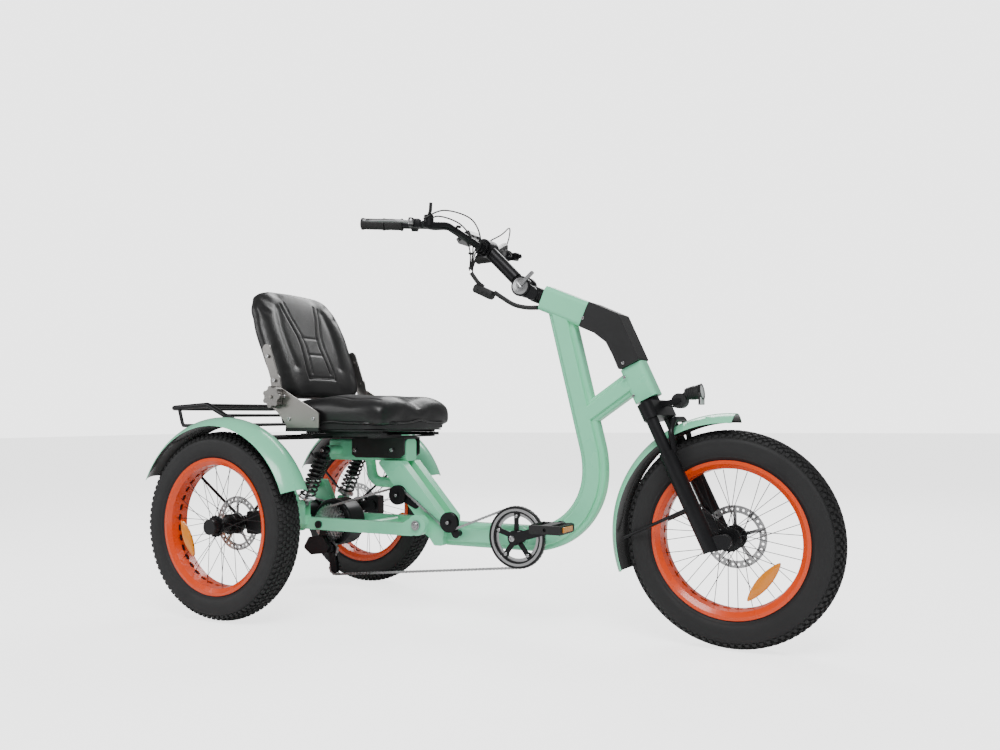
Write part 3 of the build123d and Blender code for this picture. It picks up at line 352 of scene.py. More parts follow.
# ------------------------------------------------------------------------- finishes of CAD pieces
cad_finish = {
    green: "main_frame seat_frame swingarm",
    plastic: "neck_cover idler_front idler_rear pedal_left pedal_right shifter headlamp",
    black_paint: "seat_mount",
    seat_metal: "seat_base",
    black_alloy: "rear_rack axle_fittings rear_calipers derailleur derailleur_cage motor_drum differential "
    "shock_bodies fork_crown fork_lowers steering_column stem handlebar bar_clamps crankset idler_guards",
    knob_metal: "recliner_knob recliner_arms",
    alloy: "tilt_lever brake_lever_left brake_lever_right",
    steel: "chain axle_chain cassette shock_rods chainring",
    bolts: "frame_hardware",
    gloss: "display",
    fender_paint_with_painted_shade: "rear_fenders front_fender",
    orange: "rim_left rim_right front_rim",
    rotor_steel: "rotor_left rotor_right front_rotor",
    wire: "spoked_hub_left spoked_hub_right front_spoked_hub",
}
for finish, names in cad_finish.items():
    for name in names.split():
        for slot in nodes[name].material_slots:
            slot.material = finish.material

# ----------------------------------------------------------------------------------------- wheels
CROWN_ARC = 67.8  # the tread's radius across
TREAD_DEPTH = 4.5


def tread_point(phi, lift):
    """Across and radius on the tread at an angle from the middle line."""
    r = CROWN_ARC + lift
    return r * sin(phi), TYRE_R - CROWN_ARC + r * cos(phi)


def make_tyre(name, x, y, body, node):
    centre = at(x, y, TYRE_R)
    half = [(37.0, 204.5), (37.2, 211), (41.5, 217), (43.4, 218.5), (43.6, 221), (45.6, 224), (48.4, 233)]
    half += [(49.6, 245), (48.9, 255), (49.3, 258), (48.6, 261), (47, 266)]
    for k in range(9):
        a, r = tread_point(radians(41 - 5.1 * k), -TREAD_DEPTH)
        half.append((a, r))
    section = half + [(0, TYRE_R - TREAD_DEPTH)] + [(-a, r) for a, r in reversed(half)]
    tyre = Shape()
    tyre.lathe([(r, a) for a, r in section], centre, Y, 120, closed=True)
    around = 90
    rows = [(0, 9, 12.5), (9.4, 9, 11.5), (18.8, 9, 12.5), (28.2, 8.5, 11), (38.0, 11.5, 12)]
    for k, (row, width, length) in enumerate(rows):
        for side_sign in (1, -1) if row else (1,):
            phi = radians(row) * side_sign
            for j in range(around):
                turn = 2 * pi * (j + 0.5 * (k % 2) + 0.15 * side_sign) / around
                a, r = tread_point(phi, -TREAD_DEPTH / 2)
                out = Vector((cos(turn), 0, sin(turn)))
                face = out * cos(phi) + Y * sin(phi)
                run = Vector((-sin(turn), 0, cos(turn)))
                skew = 0.35 * side_sign * (1 if k % 2 else -1) * (k < 4)
                across = face.cross(run)
                run = (run + across * skew).normalized()
                spot = centre + (out * r + Y * a) / 1000
                tyre.block(spot, (length, width, TREAD_DEPTH + 0.6), run, face, 0.8)
    piece = tyre.build(name, tyre_skin, body, 30)
    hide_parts(node)
    strip = Shape()
    strip.lathe([(190.4, -25), (191.2, -25), (191.2, 25), (190.4, 25)], centre, Y, 90, closed=True)
    strip.build(f"{name}_rim_strip", plastic, body)


def make_hub(name, x, y, body, rim_side):
    """Scalloped hub shell with rings, over the plain one."""
    shell = Shape()
    half = [(21.4, 25), (22.6, 22), (22.6, 16), (21.6, 13)]
    profile = [(r, y - a) for r, a in half] + [(r, y + a) for r, a in reversed(half)]
    shell.lathe(profile, at(x, 0, TYRE_R), Y, 36)
    outward = Vector((0, rim_side, 0))
    for j in range(16):
        turn = 2 * pi * j / 16
        lobe = at(x + 30.6 * cos(turn), y + rim_side * 26, TYRE_R + 30.6 * sin(turn))
        shell.lathe([(3.4, 0), (3.4, 4.2), (2.6, 4.8)], lobe, outward, 10)
    shell.build(name, black_alloy, body)


make_tyre("front_tyre_tread", WHEELBASE, 0, "front_wheel", "front_tyre")
make_hub("front_hub_shell", WHEELBASE, 0, "front_wheel", -1)
for side_name, sign in (("left", 1), ("right", -1)):
    wheel_y = sign * TRACK / 2
    body = f"wheel_{side_name}"
    make_tyre(f"{body}_tread", 0, wheel_y, body, f"tyre_{side_name}")
    make_hub(f"{body}_hub_shell", 0, wheel_y, body, sign)
    cap = Shape()
    outward = Vector((0, sign, 0))
    profile = [(24.2, 0), (24.2, 20), (22, 25.5), (14, 27), (9, 26.5), (8, 21), (0.1, 20)]
    cap.lathe(profile, at(0, sign * 400, TYRE_R), outward, 36)
    cap.build(f"{body}_cap", black_alloy, body)
    nut = Shape().screw(at(0, sign * 420, TYRE_R), outward, 8.5, 7)
    nut.build(f"{body}_axle_bolt", bolts, body)


def wheel_reflector(name, start, end, body):
    """Long lens with narrowing ends, clipped between spokes."""
    along = (end - start).normalized()
    rise = along.cross(Y)
    middle, reach = (start + end) / 2, (end - start).length / 2
    lens = Shape()
    rings = []
    for depth, size in ((-5.5, 0.86), (-3.5, 1.0), (3.5, 1.0), (5.5, 0.86)):
        turns = [2 * pi * k / 40 for k in range(40)]
        spots = [(reach * cos(a), 0.0165 * sin(a) * (1 - 0.35 * cos(a) ** 2)) for a in turns]
        rings.append([middle + (along * p + rise * q) * size + Y * depth / 1000 for p, q in spots])
    lens.rings(rings)
    lens.build(name, amber, body)


REFLECTORS = [
    ("front_wheel_reflector", (1526, -20, 132), (1612, -20, 236), "front_wheel"),
    ("wheel_right_reflector", (-158, -390, 298), (-104, -390, 192), "wheel_right"),
    ("wheel_left_reflector", (92, 390, 192), (150, 390, 262), "wheel_left"),
]
for name, start, end, body in REFLECTORS:
    wheel_reflector(name, at(*start), at(*end), body)

# ------------------------------------------------------------------------------------------ seat
def blended(t, table):
    """Value of a smooth table of (t, value) rows."""
    for (t0, a), (t1, b) in zip(table, table[1:]):
        if t <= t1:
            k = min(max((t - t0) / (t1 - t0), 0.0), 1.0)
            return a + (b - a) * k * k * (3 - 2 * k)
    return table[-1][1]


def bump_at(value, middle, width):
    return exp(-(((value - middle) / width) ** 2))


def edge(t, power):
    """1 in the middle, falling to 0 at t = -1 and 1."""
    return max(0.0, 1 - abs(t) ** power) ** (1 / power)


def pad_form(place_on, upper, lower, across=44, along=44):
    """Closed form of a pad: an upper and a lower skin over the same outline."""
    form = Shape()
    rings = []
    for k in range(along + 1):
        v = -cos(pi * k / along)
        us = [-cos(pi * j / across) for j in range(across + 1)]
        top = [place_on(u, v, upper(u, v)) for u in us]
        bottom = [place_on(u, v, lower(u, v)) for u in reversed(us[1:-1])]
        rings.append(top + bottom)
    form.rings(rings)
    return form


def inflate(piece, voxel=0.005, cap=0.003, pressure=2.5):
    """Swells a pad as cloth, with its movement capped, and leaves a plain mesh."""
    scene = bpy.context.scene
    settle(piece, "REMESH", mode="VOXEL", voxel_size=voxel)
    start = [v.co.copy() for v in piece.data.vertices]
    cloth = piece.modifiers.new("cloth", "CLOTH")
    cloth.settings.use_pressure = True
    cloth.settings.uniform_pressure_force = pressure
    cloth.settings.tension_stiffness = 30
    cloth.settings.compression_stiffness = 30
    cloth.settings.bending_stiffness = 12.0
    cloth.settings.effector_weights.gravity = 0
    for step in range(1, 21):
        scene.frame_set(step)
    shaped = piece.evaluated_get(bpy.context.evaluated_depsgraph_get()).to_mesh()
    moved = [v.co.copy() for v in shaped.vertices]
    piece.modifiers.remove(cloth)
    scene.frame_set(1)
    for v, a, b in zip(piece.data.vertices, start, moved):
        step = b - a
        v.co = a + step * min(1.0, cap / max(step.length, 1e-9))
    settle(piece, "SMOOTH", factor=0.5, iterations=16)
    settle(piece, "SUBSURF", levels=1)
    piece.data.polygons.foreach_set("use_smooth", [True] * len(piece.data.polygons))


def settle(piece, kind, **settings):
    """Applies one modifier."""
    bpy.context.view_layer.objects.active = piece
    step = piece.modifiers.new(kind, kind)
    for name, value in settings.items():
        setattr(step, name, value)
    bpy.ops.object.modifier_apply(modifier=step.name)


def press(mesh, flat, direction, lines, facing=0.2):
    """Moves skin along a direction near lines drawn in the pad's own (u, v) millimetres.

    lines holds (points, depth, width); flat gives a vertex's (u, v).
    """
    count = len(mesh.vertices)
    co, normal = np.empty(count * 3), np.empty(count * 3)
    mesh.vertices.foreach_get("co", co)
    mesh.vertices.foreach_get("normal", normal)
    co, normal, way = co.reshape(-1, 3), normal.reshape(-1, 3), np.array(direction)
    p = flat(co)
    shift = np.zeros(count)
    for points, depth, width in lines:
        gap = np.min([line_gap(p, np.array(a), np.array(b)) for a, b in zip(points, points[1:])], axis=0)
        shift += depth * np.exp(-((gap / width) ** 2))
    co += np.outer(shift * (normal @ way > facing) / 1000, way)
    mesh.vertices.foreach_set("co", co.ravel())
    mesh.update()


def line_gap(p, a, b):
    """Distances from points to the segment from a to b."""
    run = b - a
    t = np.clip((p - a) @ run / (run @ run), 0, 1)
    return np.linalg.norm(p - a - np.outer(t, run), axis=1)


def on_skin(piece, points, origin_shift):
    """Points pushed onto a piece's skin from one side."""
    tree = BVHTree.FromObject(piece, bpy.context.evaluated_depsgraph_get())
    found = []
    for p in points:
        hit = tree.ray_cast(p + origin_shift, -origin_shift.normalized())[0]
        if hit:
            found.append(hit)
    return found


# the cushion: two crowned thigh humps, a dip between them and a firm front wall
SEAT_X, SEAT_LONG, SEAT_WIDE, SEAT_Z = 286.0, 201.0, 212.0, 608.0


def cushion_at(u, v, height):
    wide = SEAT_WIDE * (1 - 0.055 * abs(v) ** 7) * (1 - 0.02 * (v < 0) * v * v)
    long = SEAT_LONG * (1 - 0.07 * abs(u) ** 7)
    return at(SEAT_X + v * long, u * wide, height)


def cushion_top(u, v):
    rise = blended((v + 1) / 2, [(0.0, 58), (0.2, 71), (0.5, 79), (0.72, 72), (0.88, 72), (1.0, 66)])
    forward_share = blended(v, [(-0.7, 0.2), (0.4, 1.0)])
    humps = 8.5 * (bump_at(abs(u), 0.5, 0.3) - bump_at(u, 0, 0.24) * 1.1) * forward_share
    sides = 5.0 * bump_at(abs(u), 0.86, 0.16) * blended(v, [(-0.5, 1.0), (0.4, 0.0)])
    return SEAT_Z + (rise + humps + sides) * edge(u, 5.0) * edge(v, 6.5)


def cushion_base(u, v):
    return SEAT_Z - 16 * edge(u, 6) * edge(v, 6)


form = pad_form(cushion_at, cushion_top, cushion_base)
cushion = form.build("cushion", vinyl, "seat", 180)
inflate(cushion)
up_axis = Vector((0, 0, 1))


def seat_plan(co):
    return (co[:, :2] - (REAR_X, 0)) * 1000


seat_lines = [([(470, 0), (380, 0), (300, 0)], -3.0, 14.0)]
for s in (-1, 1):
    seat_lines.append(([(150, s * 150), (260, s * 168), (380, s * 176), (450, s * 168)], -2.0, 5.0))
press(cushion.data, seat_plan, up_axis, seat_lines, 0.5)
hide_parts("seat_cushion")


def cushion_rim(grow, height, wavy=True):
    """A line round the cushion; where it is wavy it rises at the middle of the front and the sides."""
    found = []
    for k in range(96):
        turn = 2 * pi * k / 96
        u = max(-1.0, min(1.0, 1.22 * cos(turn)))
        v = max(-1.0, min(1.0, 1.22 * sin(turn)))
        lift = 9 * bump_at(u, 0, 0.2) * (v > 0.5) + 5 * bump_at(v, 0.05, 0.25) * (abs(u) > 0.9)
        found.append(cushion_at(u * grow, v * grow, height + lift * wavy))
    return found


seam = Shape()
seam.tube(smooth(cushion_rim(1.012, 603), 2, closed=True), 0.0028, 8, closed=True)
seam.build("cushion_welt", vinyl, "seat")
shell = Shape()
levels = ((582.5, 0.93, False), (585, 0.985, False), (598, 1.0, True), (600.5, 0.99, True))
shell.rings([cushion_rim(grow, height, wavy) for height, grow, wavy in levels])
shell.build("cushion_shell", plastic, "seat")

# the backrest: a leaning pad with rolled side bolsters and an embossed middle
back_up = Vector((-sin(RECLINE), 0, cos(RECLINE)))
back_out = Vector((cos(RECLINE), 0, sin(RECLINE)))
BACK_LOW, BACK_HIGH = -4.0, 400.0
BACK_WIDTH = [(0.0, 188), (0.1, 210), (0.35, 221), (0.58, 224), (0.8, 212), (0.94, 188), (1.0, 166)]
back_origin = at(88, 0, 689)


def back_at(u, v, out):
    t = (v + 1) / 2
    wide = blended(t, BACK_WIDTH)
    rise = BACK_LOW + (BACK_HIGH - BACK_LOW) * t
    rise -= 16 * abs(u) ** 4 * max(0.0, v) ** 6
    rise += 12 * abs(u) ** 4 * max(0.0, -v) ** 6
    return back_origin + Y * u * wide / 1000 + back_up * rise / 1000 + back_out * out / 1000


def back_front(u, v):
    roll = 13 * bump_at(abs(u), 0.8, 0.17) * blended(v, [(-0.8, 0.9), (0.1, 1.0), (0.9, 0.35)])
    lumbar = 5 * bump_at(v, -0.45, 0.45) * bump_at(u, 0, 0.6)
    return -8 + (27 + roll + lumbar) * edge(u, 3.4) * edge(v, 4.2)


def back_rear(u, v):
    return -8 - 24 * edge(u, 4) * edge(v, 4)


backrest = pad_form(back_at, back_front, back_rear).build("backrest_pad", vinyl, "backrest", 180)
inflate(backrest)


def back_plan(co):
    step = co - np.array(back_origin)
    return np.stack((step[:, 1], step @ np.array(back_up)), axis=1) * 1000


OUTER = [(66, 62), (70, 90), (60, 180), (62, 220), (88, 300), (97, 338)]
INNER = [(46, 82), (42, 120), (34, 180), (38, 226), (66, 300), (76, 346)]
EMBOSS = []
for s in (-1, 1):
    EMBOSS.append([(s * a, b) for a, b in OUTER])
    EMBOSS.append([(s * a, b) for a, b in INNER])
    EMBOSS.append([(s * 116, 110), (s * 126, 180), (s * 128, 250), (s * 116, 320)])
EMBOSS.append([(-66, 62), (66, 62)])
EMBOSS.append([(-34, 150), (34, 150)])
EMBOSS.append([(-38, 214), (38, 214)])
depths = [-2.2, -2.0, -4.0, -2.2, -2.0, -4.0, -2.4, -1.4, -1.4]
widths = [4.5, 4.0, 16.0, 4.5, 4.0, 16.0, 5.0, 5.0, 5.0]
press(backrest.data, back_plan, back_out, list(zip(EMBOSS, depths, widths)), 0.3)
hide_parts("backrest")
piping = Shape()
for line in (EMBOSS[0], EMBOSS[1], EMBOSS[3], EMBOSS[4], EMBOSS[6]):
    spots = [back_origin + Y * a / 1000 + back_up * b / 1000 for a, b in line]
    skin = on_skin(backrest, smooth(spots, 10), back_out * 0.08)
    piping.tube([p + back_out * 0.0004 for p in skin], 0.0017, 6)
piping.build("backrest_piping", vinyl, "backrest")

# ----------------------------------------------------------------------------------- drive chains
def belt(circles):
    """Points where a run over (centre, radius, turn) circles leaves and meets each one."""
    ends = []
    for k in range(len(circles)):
        (x0, z0), r0, turn0 = circles[k]
        (x1, z1), r1, turn1 = circles[(k + 1) % len(circles)]
        heading = atan2(z1 - z0, x1 - x0) + asin((turn0 * r0 - turn1 * r1) / hypot(x1 - x0, z1 - z0))
        out = (sin(heading), -cos(heading))
        leave = (x0 + turn0 * r0 * out[0], z0 + turn0 * r0 * out[1])
        ends.append((leave, (x1 + turn1 * r1 * out[0], z1 + turn1 * r1 * out[1])))
    return ends


def belt_points(circles, pitch):
    """Evenly spaced points round the belt, about a pitch apart."""
    ends = belt(circles)
    fine = []
    for k, ((cx, cz), r, turn) in enumerate(circles):
        arrive, leave = ends[k - 1][1], ends[k][0]
        first = atan2(arrive[1] - cz, arrive[0] - cx)
        last = atan2(leave[1] - cz, leave[0] - cx)
        arc = ((last - first) * turn) % (2 * pi) * turn
        fine += [(cx + r * cos(first + arc * j / 24), cz + r * sin(first + arc * j / 24)) for j in range(25)]
    lengths = [hypot(b[0] - a[0], b[1] - a[1]) for a, b in zip(fine, fine[1:] + fine[:1])]
    total = sum(lengths)
    count = 2 * round(total / pitch / 2)
    found, walked, k = [], 0.0, 0
    for j in range(count):
        goal = total * j / count
        while walked + lengths[k] < goal:
            walked += lengths[k]
            k += 1
        t = (goal - walked) / max(lengths[k], 1e-9)
        a, b = fine[k], fine[(k + 1) % len(fine)]
        found.append((a[0] + (b[0] - a[0]) * t, a[1] + (b[1] - a[1]) * t))
    return found


def make_chain(name, circles, y, node, body=None):
    """Roller chain: waisted outer and inner plates with pins and rollers."""
    points = belt_points(circles, 12.7)
    links = Shape()
    for k, (x, z) in enumerate(points):
        nx, nz = points[(k + 1) % len(points)]
        along = Vector((nx - x, 0, nz - z)).normalized()
        rise = Vector((-along.z, 0, along.x))
        middle = at((x + nx) / 2, y, (z + nz) / 2)
        half = hypot(nx - x, nz - z) / 2
        outline = [(0, 2.7), (half - 1.5, 3.9), (half + 2.6, 3.0), (half + 3.9, 0)]
        shape = outline + [(a, -b) for a, b in reversed(outline[:-1])]
        shape += [(-a, -b) for a, b in outline[1:]] + [(-a, b) for a, b in reversed(outline[1:-1])]
        near, far = (2.5, 3.3) if k % 2 else (1.65, 2.4)
        for s in (-1, 1):
            flat = [(along * a + rise * b) / 1000 for a, b in shape]
            links.rings([[middle + p + Y * s * d / 1000 for p in flat] for d in (near, far)])
        links.lathe([(3.6, -1.6), (3.6, 1.6)], at(x, y, z), Y, 10)
        links.lathe([(1.7, -3.4), (1.7, 3.4)], at(x, y, z), Y, 8)
    piece = links.build(name, steel, body)
    if body is None:
        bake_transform(piece)
    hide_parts(node)


# coil springs along the shock absorbers
springs = Shape()
spring_down = (at(92, 0, 336) - at(180, 0, 515)).normalized()
for sign in (-1, 1):
    upper_eye = at(180, sign * 102, 515)
    u, v = frame_of(spring_down)
    coil = []
    for k in range(301):
        t = k / 300
        turn = 2 * pi * 8.3 * t
        reach = 32 + 134 * t
        coil.append(upper_eye + spring_down * reach / 1000 + (u * cos(turn) + v * sin(turn)) * 0.023)
    springs.tube(coil, 0.0036, 10)
coils = springs.build("coil_springs", black_paint)
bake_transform(coils)
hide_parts("shock_springs")

CRANK = (868.0, 265.0)
CHAIN_Y = -60.0
CHAIN_WHEELS = [
    (CRANK, 88.9, 1),
    ((633.0, 297.0), 25.0, -1),
    ((441.0, 374.0), 25.0, 1),
    ((158.0, 272.0), 51.0, 1),
    ((177.0, 188.0), 22.0, -1),
    ((190.0, 127.0), 22.0, 1),
]
make_chain("drive_chain", CHAIN_WHEELS, CHAIN_Y, "chain")
AXLE_WHEELS = [((158.0, 272.0), 34.0, 1), ((0.0, 290.0), 48.0, 1)]
make_chain("axle_chain_links", AXLE_WHEELS, 58.0, "axle_chain", "carrier")

guard_ring = Shape()
section = [(76.5, -67.0), (77.2, -67.9), (84.2, -67.9), (85, -67.0)]
guard_ring.lathe(section, at(CRANK[0], 0, CRANK[1]), Y, 72, closed=True)
guard_ring.build("guard_band", alloy, "crank")
lip = Shape()
lip_section = [(87.5, -67.0), (88.2, -68.6), (91, -68.6), (91.3, -65.5)]
lip.lathe(lip_section, at(CRANK[0], 0, CRANK[1]), Y, 72, closed=True)
lip.build("guard_lip", plastic, "crank")

crank_bits = Shape()
for k in range(5):
    turn = radians(18 + 72 * k)
    spot = at(CRANK[0] + 62 * cos(turn), -67.0, CRANK[1] + 62 * sin(turn))
    crank_bits.screw(spot, -Y, 5.5, 2.5)
for s in (-1, 1):
    crank_bits.screw(at(CRANK[0], s * 95, CRANK[1]), Y * s, 9, 3.5)
crank_bits.build("crank_bolts", bolts, "crank")

RISE = radians(16)
for side_name, sign in (("left", 1), ("right", -1)):
    px, pz = CRANK[0] - sign * 160 * cos(RISE), CRANK[1] - sign * 160 * sin(RISE)
    lenses, pins = Shape(), Shape()
    for s in (-1, 1):
        lenses.bevelled(at(px + s * 48.5, sign * 150, pz), (62, 15, 4), Y, Vector((s, 0, 0)), 1.5)
        for k in range(7):
            for level in (-1, 1):
                tooth = at(px + s * 42, sign * (112 + 12.6 * k), pz + level * 12.4)
                pins.block(tooth, (6, 5, 3.0), Vector((1, 0, 0)), Vector((0, 0, level)), 0.6)
    lenses.build(f"pedal_{side_name}_reflectors", amber, f"pedal_{side_name}")
    pins.build(f"pedal_{side_name}_teeth", plastic, f"pedal_{side_name}")

# ----------------------------------------------------------------------------- bolts and fittings
screws = Shape()
for x, z in ((262, 514), (409, 516)):
    for s in (-1, 1):
        screws.screw(at(x, s * 50, z), Y * s, 6.5, 4)
for x, z, y, r in ((1077, 902, 44, 4.4), (1198, 768, 44, 4.4), (1200, 728, 40, 4), (1226, 675, 40, 4)):
    for s in (-1, 1):
        screws.screw(at(x, s * y, z), Y * s, r, 1.5)
for s in (-1, 1):
    screws.screw(at(540, s * 111, 288), Y * s, 11, 5)
    screws.screw(at(180, s * 115, 515), Y * s, 7, 4)
for x, z in ((633, 297), (441, 374)):
    screws.screw(at(x, -72, z), -Y, 5.5, 4)
screws.build("frame_screws", bolts, "frame")

seat_screws = Shape()
for x, z in ((142, 618), (240, 618), (76, 700), (120, 690)):
    for s in (-1, 1):
        seat_screws.screw(at(x, s * 231.5, z), Y * s, 6.5, 3.5)
seat_screws.build("recliner_screws", bolts, "seat")
arm_screws = Shape()
for x, z in ((47, 822), (76, 743)):
    for s in (-1, 1):
        arm_screws.screw(at(x, s * 230, z), Y * s, 6, 3)
arm_screws.build("backrest_screws", bolts, "backrest")

# --------------------------------------------------------------------------------------- steering
GRIP_IN, GRIP_OUT = (645.0, 290.0, 1174.0), (511.0, 340.0, 1183.0)


def grip_frame(sign):
    """Start of a grip with its outboard, cross and lengthwise directions."""
    start = at(GRIP_IN[0], sign * GRIP_IN[1], GRIP_IN[2])
    run = (at(GRIP_OUT[0], sign * GRIP_OUT[1], GRIP_OUT[2]) - start).normalized()
    outboard = run.cross(Vector((0, 0, sign))).normalized()
    return start, outboard, run.cross(outboard), run


def grip_profile(first, last, flare):
    """Soft ribbed sleeve, thicker at its inner collar."""
    rows = [(11.3, first), (17.8, first + 0.5), (18.2, first + 4), (16.2, first + 6)]
    steps = int((last - first - 22) / 4)
    for k in range(steps):
        s = first + 8 + 4 * k
        rows += [(16.4, s), (15.6, s + 2)]
    rows += [(16.2, last - 10), (16.6 + flare, last - 5), (16.2 + flare, last - 1), (13, last), (11.3, last)]
    return rows


for name, sign, first, last, body, node in (
    ("grip_left", 1, 12, 143, "stem", None),
    ("grip_right", -1, 73, 143, "stem", "grips"),
    ("throttle_sleeve", -1, 20, 72, "throttle", "throttle"),
):
    start, outboard, across, run = grip_frame(sign)
    grip_end = last > 100
    sleeve = Shape().lathe(grip_profile(first, last, float(grip_end)), start, run, 40, closed=True)
    if grip_end:
        sleeve.lathe([(0.2, last + 0.5), (9, last + 1.2), (15, last + 0.2), (15, last - 3)], start, run, 32)
    piece = sleeve.build(name, dark_rubber, body, 50)
    if node:
        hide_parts(node)

LEVER_LINE = [(44, 0, -14), (52, 0, 4), (57, 0, 30), (55, 0, 62), (51, 0, 92), (50, 0, 114), (53, 0, 124)]
for side_name, sign in (("left", 1), ("right", -1)):
    start, outboard, across, run = grip_frame(sign)
    line = [start + (outboard * a + across * b + run * c) / 1000 for a, b, c in LEVER_LINE]
    blade = Shape()
    curve = smooth(line, 6)
    blade.tube(curve, 0.0072, 14, flat=0.62, wave=lambda k: 0.75 + 0.35 * sin(pi * k / 36))
    blade.lathe([(8, -7.8), (8.4, -7), (8.4, 7), (8, 7.8)], line[0], across, 20)
    piece = blade.build(f"brake_blade_{side_name}", alloy, f"brake_lever_{side_name}")
    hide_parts(f"brake_lever_{side_name}")
    inset = Shape().tube([p + outboard * 0.0042 for p in curve[13:31]], 0.0032, 8, flat=0.7)
    inset_piece = inset.build(f"brake_inset_{side_name}", plastic, f"brake_lever_{side_name}")
    perch = Shape()
    perch.bevelled(start + (outboard * 26 - run * 24) / 1000, (20, 26, 30), outboard, run, 4)
    perch.lathe([(8, -14), (8, -10), (6, -9)], start + (outboard * 30 - run * 34) / 1000, run, 16)
    perch.build(f"brake_perch_{side_name}", black_alloy, "stem")

glass = Shape().bevelled(at(668, 0, 1189.5), (70, 44, 2.4), Y, Vector((-0.5, 0, 0.866)), 1.0)
glass.build("display_glass", gloss, "stem")


def on_neck(across, n):
    """A point of the upper column's line, across it and n up it."""
    lean, lift = sin(NECK_TILT), cos(NECK_TILT)
    return at(941 + across * lean - n * lift, 0, 973 + across * lift + n * lean)


hinge = on_neck(8, 84)
clamp = Shape()
for s in (-1, 1):
    clamp.lathe([(8, 27), (8.4, 29.4), (19, 29.4), (21, 28.4), (25.6, 27.6), (26, 26)], hinge, Y * s, 48)
clamp.screw(hinge + Y * 0.0292, Y, 7, 4)
clamp.build("tilt_clamp_discs", alloy, "column")
ribs = Shape()
neck_up = Vector((-cos(NECK_TILT), 0, sin(NECK_TILT)))
for k in range(5):
    ribs.lathe([(21.8, 0), (23.6, 0.6), (23.6, 3.4), (21.8, 4)], on_neck(0, 8 + 8 * k), neck_up, 40)
ribs.build("column_rings", black_alloy, "column")

# wiring: bare cables from the controls into a corrugated loom, a junction box and on into the neck
CABLES = [(722, -62, 1136), (706, -58, 1105), (707, -46, 1065), (722, -30, 1036), (737, -22, 1021)]
LOOM = [(776, -20, 1001), (806, -21, 981), (843, -20, 959), (884, -19, 948), (923, -20, 945)]
loom = Shape()
for route in (CABLES[2:], LOOM):
    curve = smooth([at(*p) for p in route], 40)
    loom.tube(curve, 0.0072, 12, wave=lambda k: 1.0 if k % 4 < 2 else 0.84)
loom_piece = loom.build("corrugated_loom", cord_skin, angle=60)
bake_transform(loom_piece)
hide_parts("wiring")
box = Shape()
box.bevelled(at(738, -20, 1006), (72, 32, 27), Vector((0.87, 0, -0.42)), Vector((0.42, 0, 0.87)), 7)
for x in (722, 740, 754):
    box.screw(at(x, -37.4, 1012 - 0.48 * (x - 722)), -Y, 2.4, 1.2)
box.build("junction_box", plastic, "stem")

CORDS = [
    [
        (668, -248, 1182), (700, -226, 1206), (728, -150, 1196),
        (735, -90, 1160), (722, -60, 1128), (708, -50, 1078),
    ],
    [
        (655, -268, 1176), (690, -240, 1166), (712, -180, 1172),
        (726, -110, 1152), (716, -66, 1120), (706, -54, 1070),
    ],
    [
        (672, -258, 1196), (716, -214, 1224), (752, -120, 1212),
        (752, -64, 1158), (722, -54, 1110), (712, -46, 1064),
    ],
    [
        (668, 248, 1182), (700, 220, 1222), (738, 150, 1236),
        (756, 60, 1196), (736, -24, 1148), (712, -42, 1090),
    ],
    [
        (655, 268, 1176), (700, 236, 1160), (724, 170, 1166),
        (734, 90, 1150), (724, -20, 1124), (710, -44, 1076),
    ],
    [(690, 20, 1172), (704, -10, 1148), (704, -34, 1112), (708, -44, 1072)],
]
cords = Shape()
for route in CORDS:
    cords.tube(smooth([at(*p) for p in route], 10), 0.0023, 8)
cords.build("control_cables", cord_skin, "stem")
ties = Shape()
for x, y, z in ((708, -49, 1078), (712, -56, 1122), (727, -152, 1186)):
    ties.lathe([(7.5, -2), (8.2, -1), (8.2, 1), (7.5, 2)], at(x, y, z), Vector((0.1, 0.2, 1)), 16)
ties.build("cable_ties", plastic, "stem")

# --------------------------------------------------------------------------------------- headlamp
LAMP_UP = radians(8)
lamp_axis = Vector((cos(LAMP_UP), 0, sin(LAMP_UP)))
lamp = at(1364, 0, 678)
bezel_section = [(21.4, 40), (22.6, 41), (22.6, 47.5), (20.6, 48), (20.4, 44)]
bezel = Shape().lathe(bezel_section, lamp, lamp_axis, 40, closed=True)
bezel.build("lamp_bezel", gloss, "headlamp")
lens = Shape().lathe([(20.4, 44), (18, 46.6), (12, 47.8), (5, 48.4), (0.1, 48.6)], lamp, lamp_axis, 40)
lens.build("lamp_lens", clear, "headlamp")
fins = Shape()
for k in range(4):
    r, start = 15.6 + 0.15 * 6 * k, 4 + 6 * k
    fin = [(r, start), (r + 1.6, start + 0.6), (r + 1.8, start + 3.2), (r + 0.4, start + 3.8)]
    fins.lathe(fin, lamp, lamp_axis, 36)
fins.build("lamp_fins", plastic, "headlamp")
white = Shape().bevelled(at(1410.2, 0, 659), (37, 21, 2.6), Y, Vector((1, 0, 0)), 1.0)
white.build("front_reflector", clear, "headlamp")
lamp_wires = Shape()
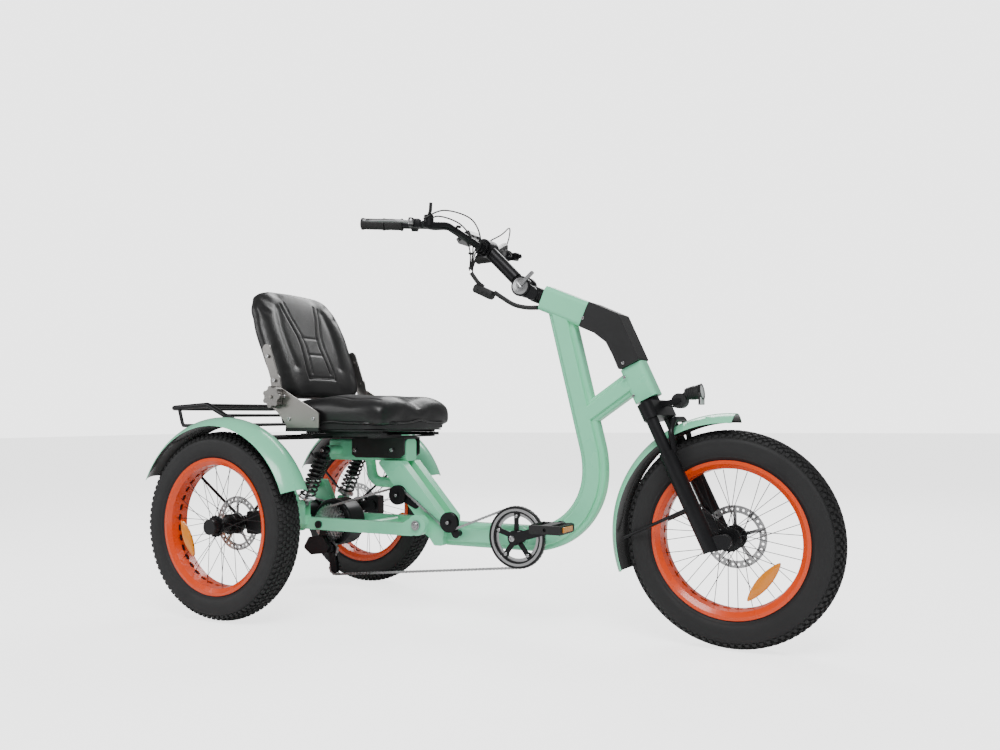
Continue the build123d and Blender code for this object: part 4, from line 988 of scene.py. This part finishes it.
for y, drop in ((-5, 0), (5, -3)):
    route = [(1352, y, 648), (1358, y * 2, 646 + drop), (1340, y * 2, 644 + drop)]
    route += [(1312, y, 648), (1290, y, 654)]
    lamp_wires.tube(smooth([at(*p) for p in route], 10), 0.0019, 8)
lamp_wires.build("lamp_wires", cord_skin, "fork")

# --------------------------------------------------------------------------- stage and soft light
bpy.ops.mesh.primitive_plane_add(size=60, location=(0, 0, 0))
floor = bpy.context.object
floor.name = "floor"
paper = Finish("pale_floor", (0.93, 0.93, 0.93), 0.85, grain=40, relief=0.02, tint=0.01)
paper.shader.inputs["Emission Color"].default_value = (1, 1, 1, 1)
glow = paper.math("MULTIPLY", paper.node("ShaderNodeLightPath").outputs["Is Camera Ray"], 2.2)
paper.link(glow, paper.shader.inputs["Emission Strength"])
floor.data.materials.append(paper.material)

world = bpy.data.worlds.new("studio")
world.use_nodes = True
backdrop = world.node_tree.nodes["Background"]
backdrop.inputs["Color"].default_value = (1, 1, 1, 1)
seen = world.node_tree.nodes.new("ShaderNodeLightPath")
strength = world.node_tree.nodes.new("ShaderNodeMapRange")
strength.inputs["To Min"].default_value = 0.3
strength.inputs["To Max"].default_value = 3.2
world.node_tree.links.new(seen.outputs["Is Camera Ray"], strength.inputs["Value"])
world.node_tree.links.new(strength.outputs[0], backdrop.inputs["Strength"])
bpy.context.scene.world = world


def softbox(name, spot, target, size, power):
    data = bpy.data.lights.new(name, "AREA")
    data.shape = "RECTANGLE"
    data.size, data.size_y = size
    data.energy = power
    lamp_object = bpy.data.objects.new(name, data)
    bpy.context.scene.collection.objects.link(lamp_object)
    aim = Vector(target) - Vector(spot)
    lamp_object.location = spot
    lamp_object.rotation_euler = aim.to_track_quat("-Z", "Y").to_euler()


softbox("key", (1.6, -2.4, 3.6), (0, 0, 0.4), (2.2, 1.8), 130)
softbox("fill", (-3.0, -2.6, 1.8), (0, 0, 0.5), (2.0, 2.0), 38)
softbox("back", (-0.8, 3.0, 3.2), (0, 0, 0.5), (2.6, 1.4), 80)
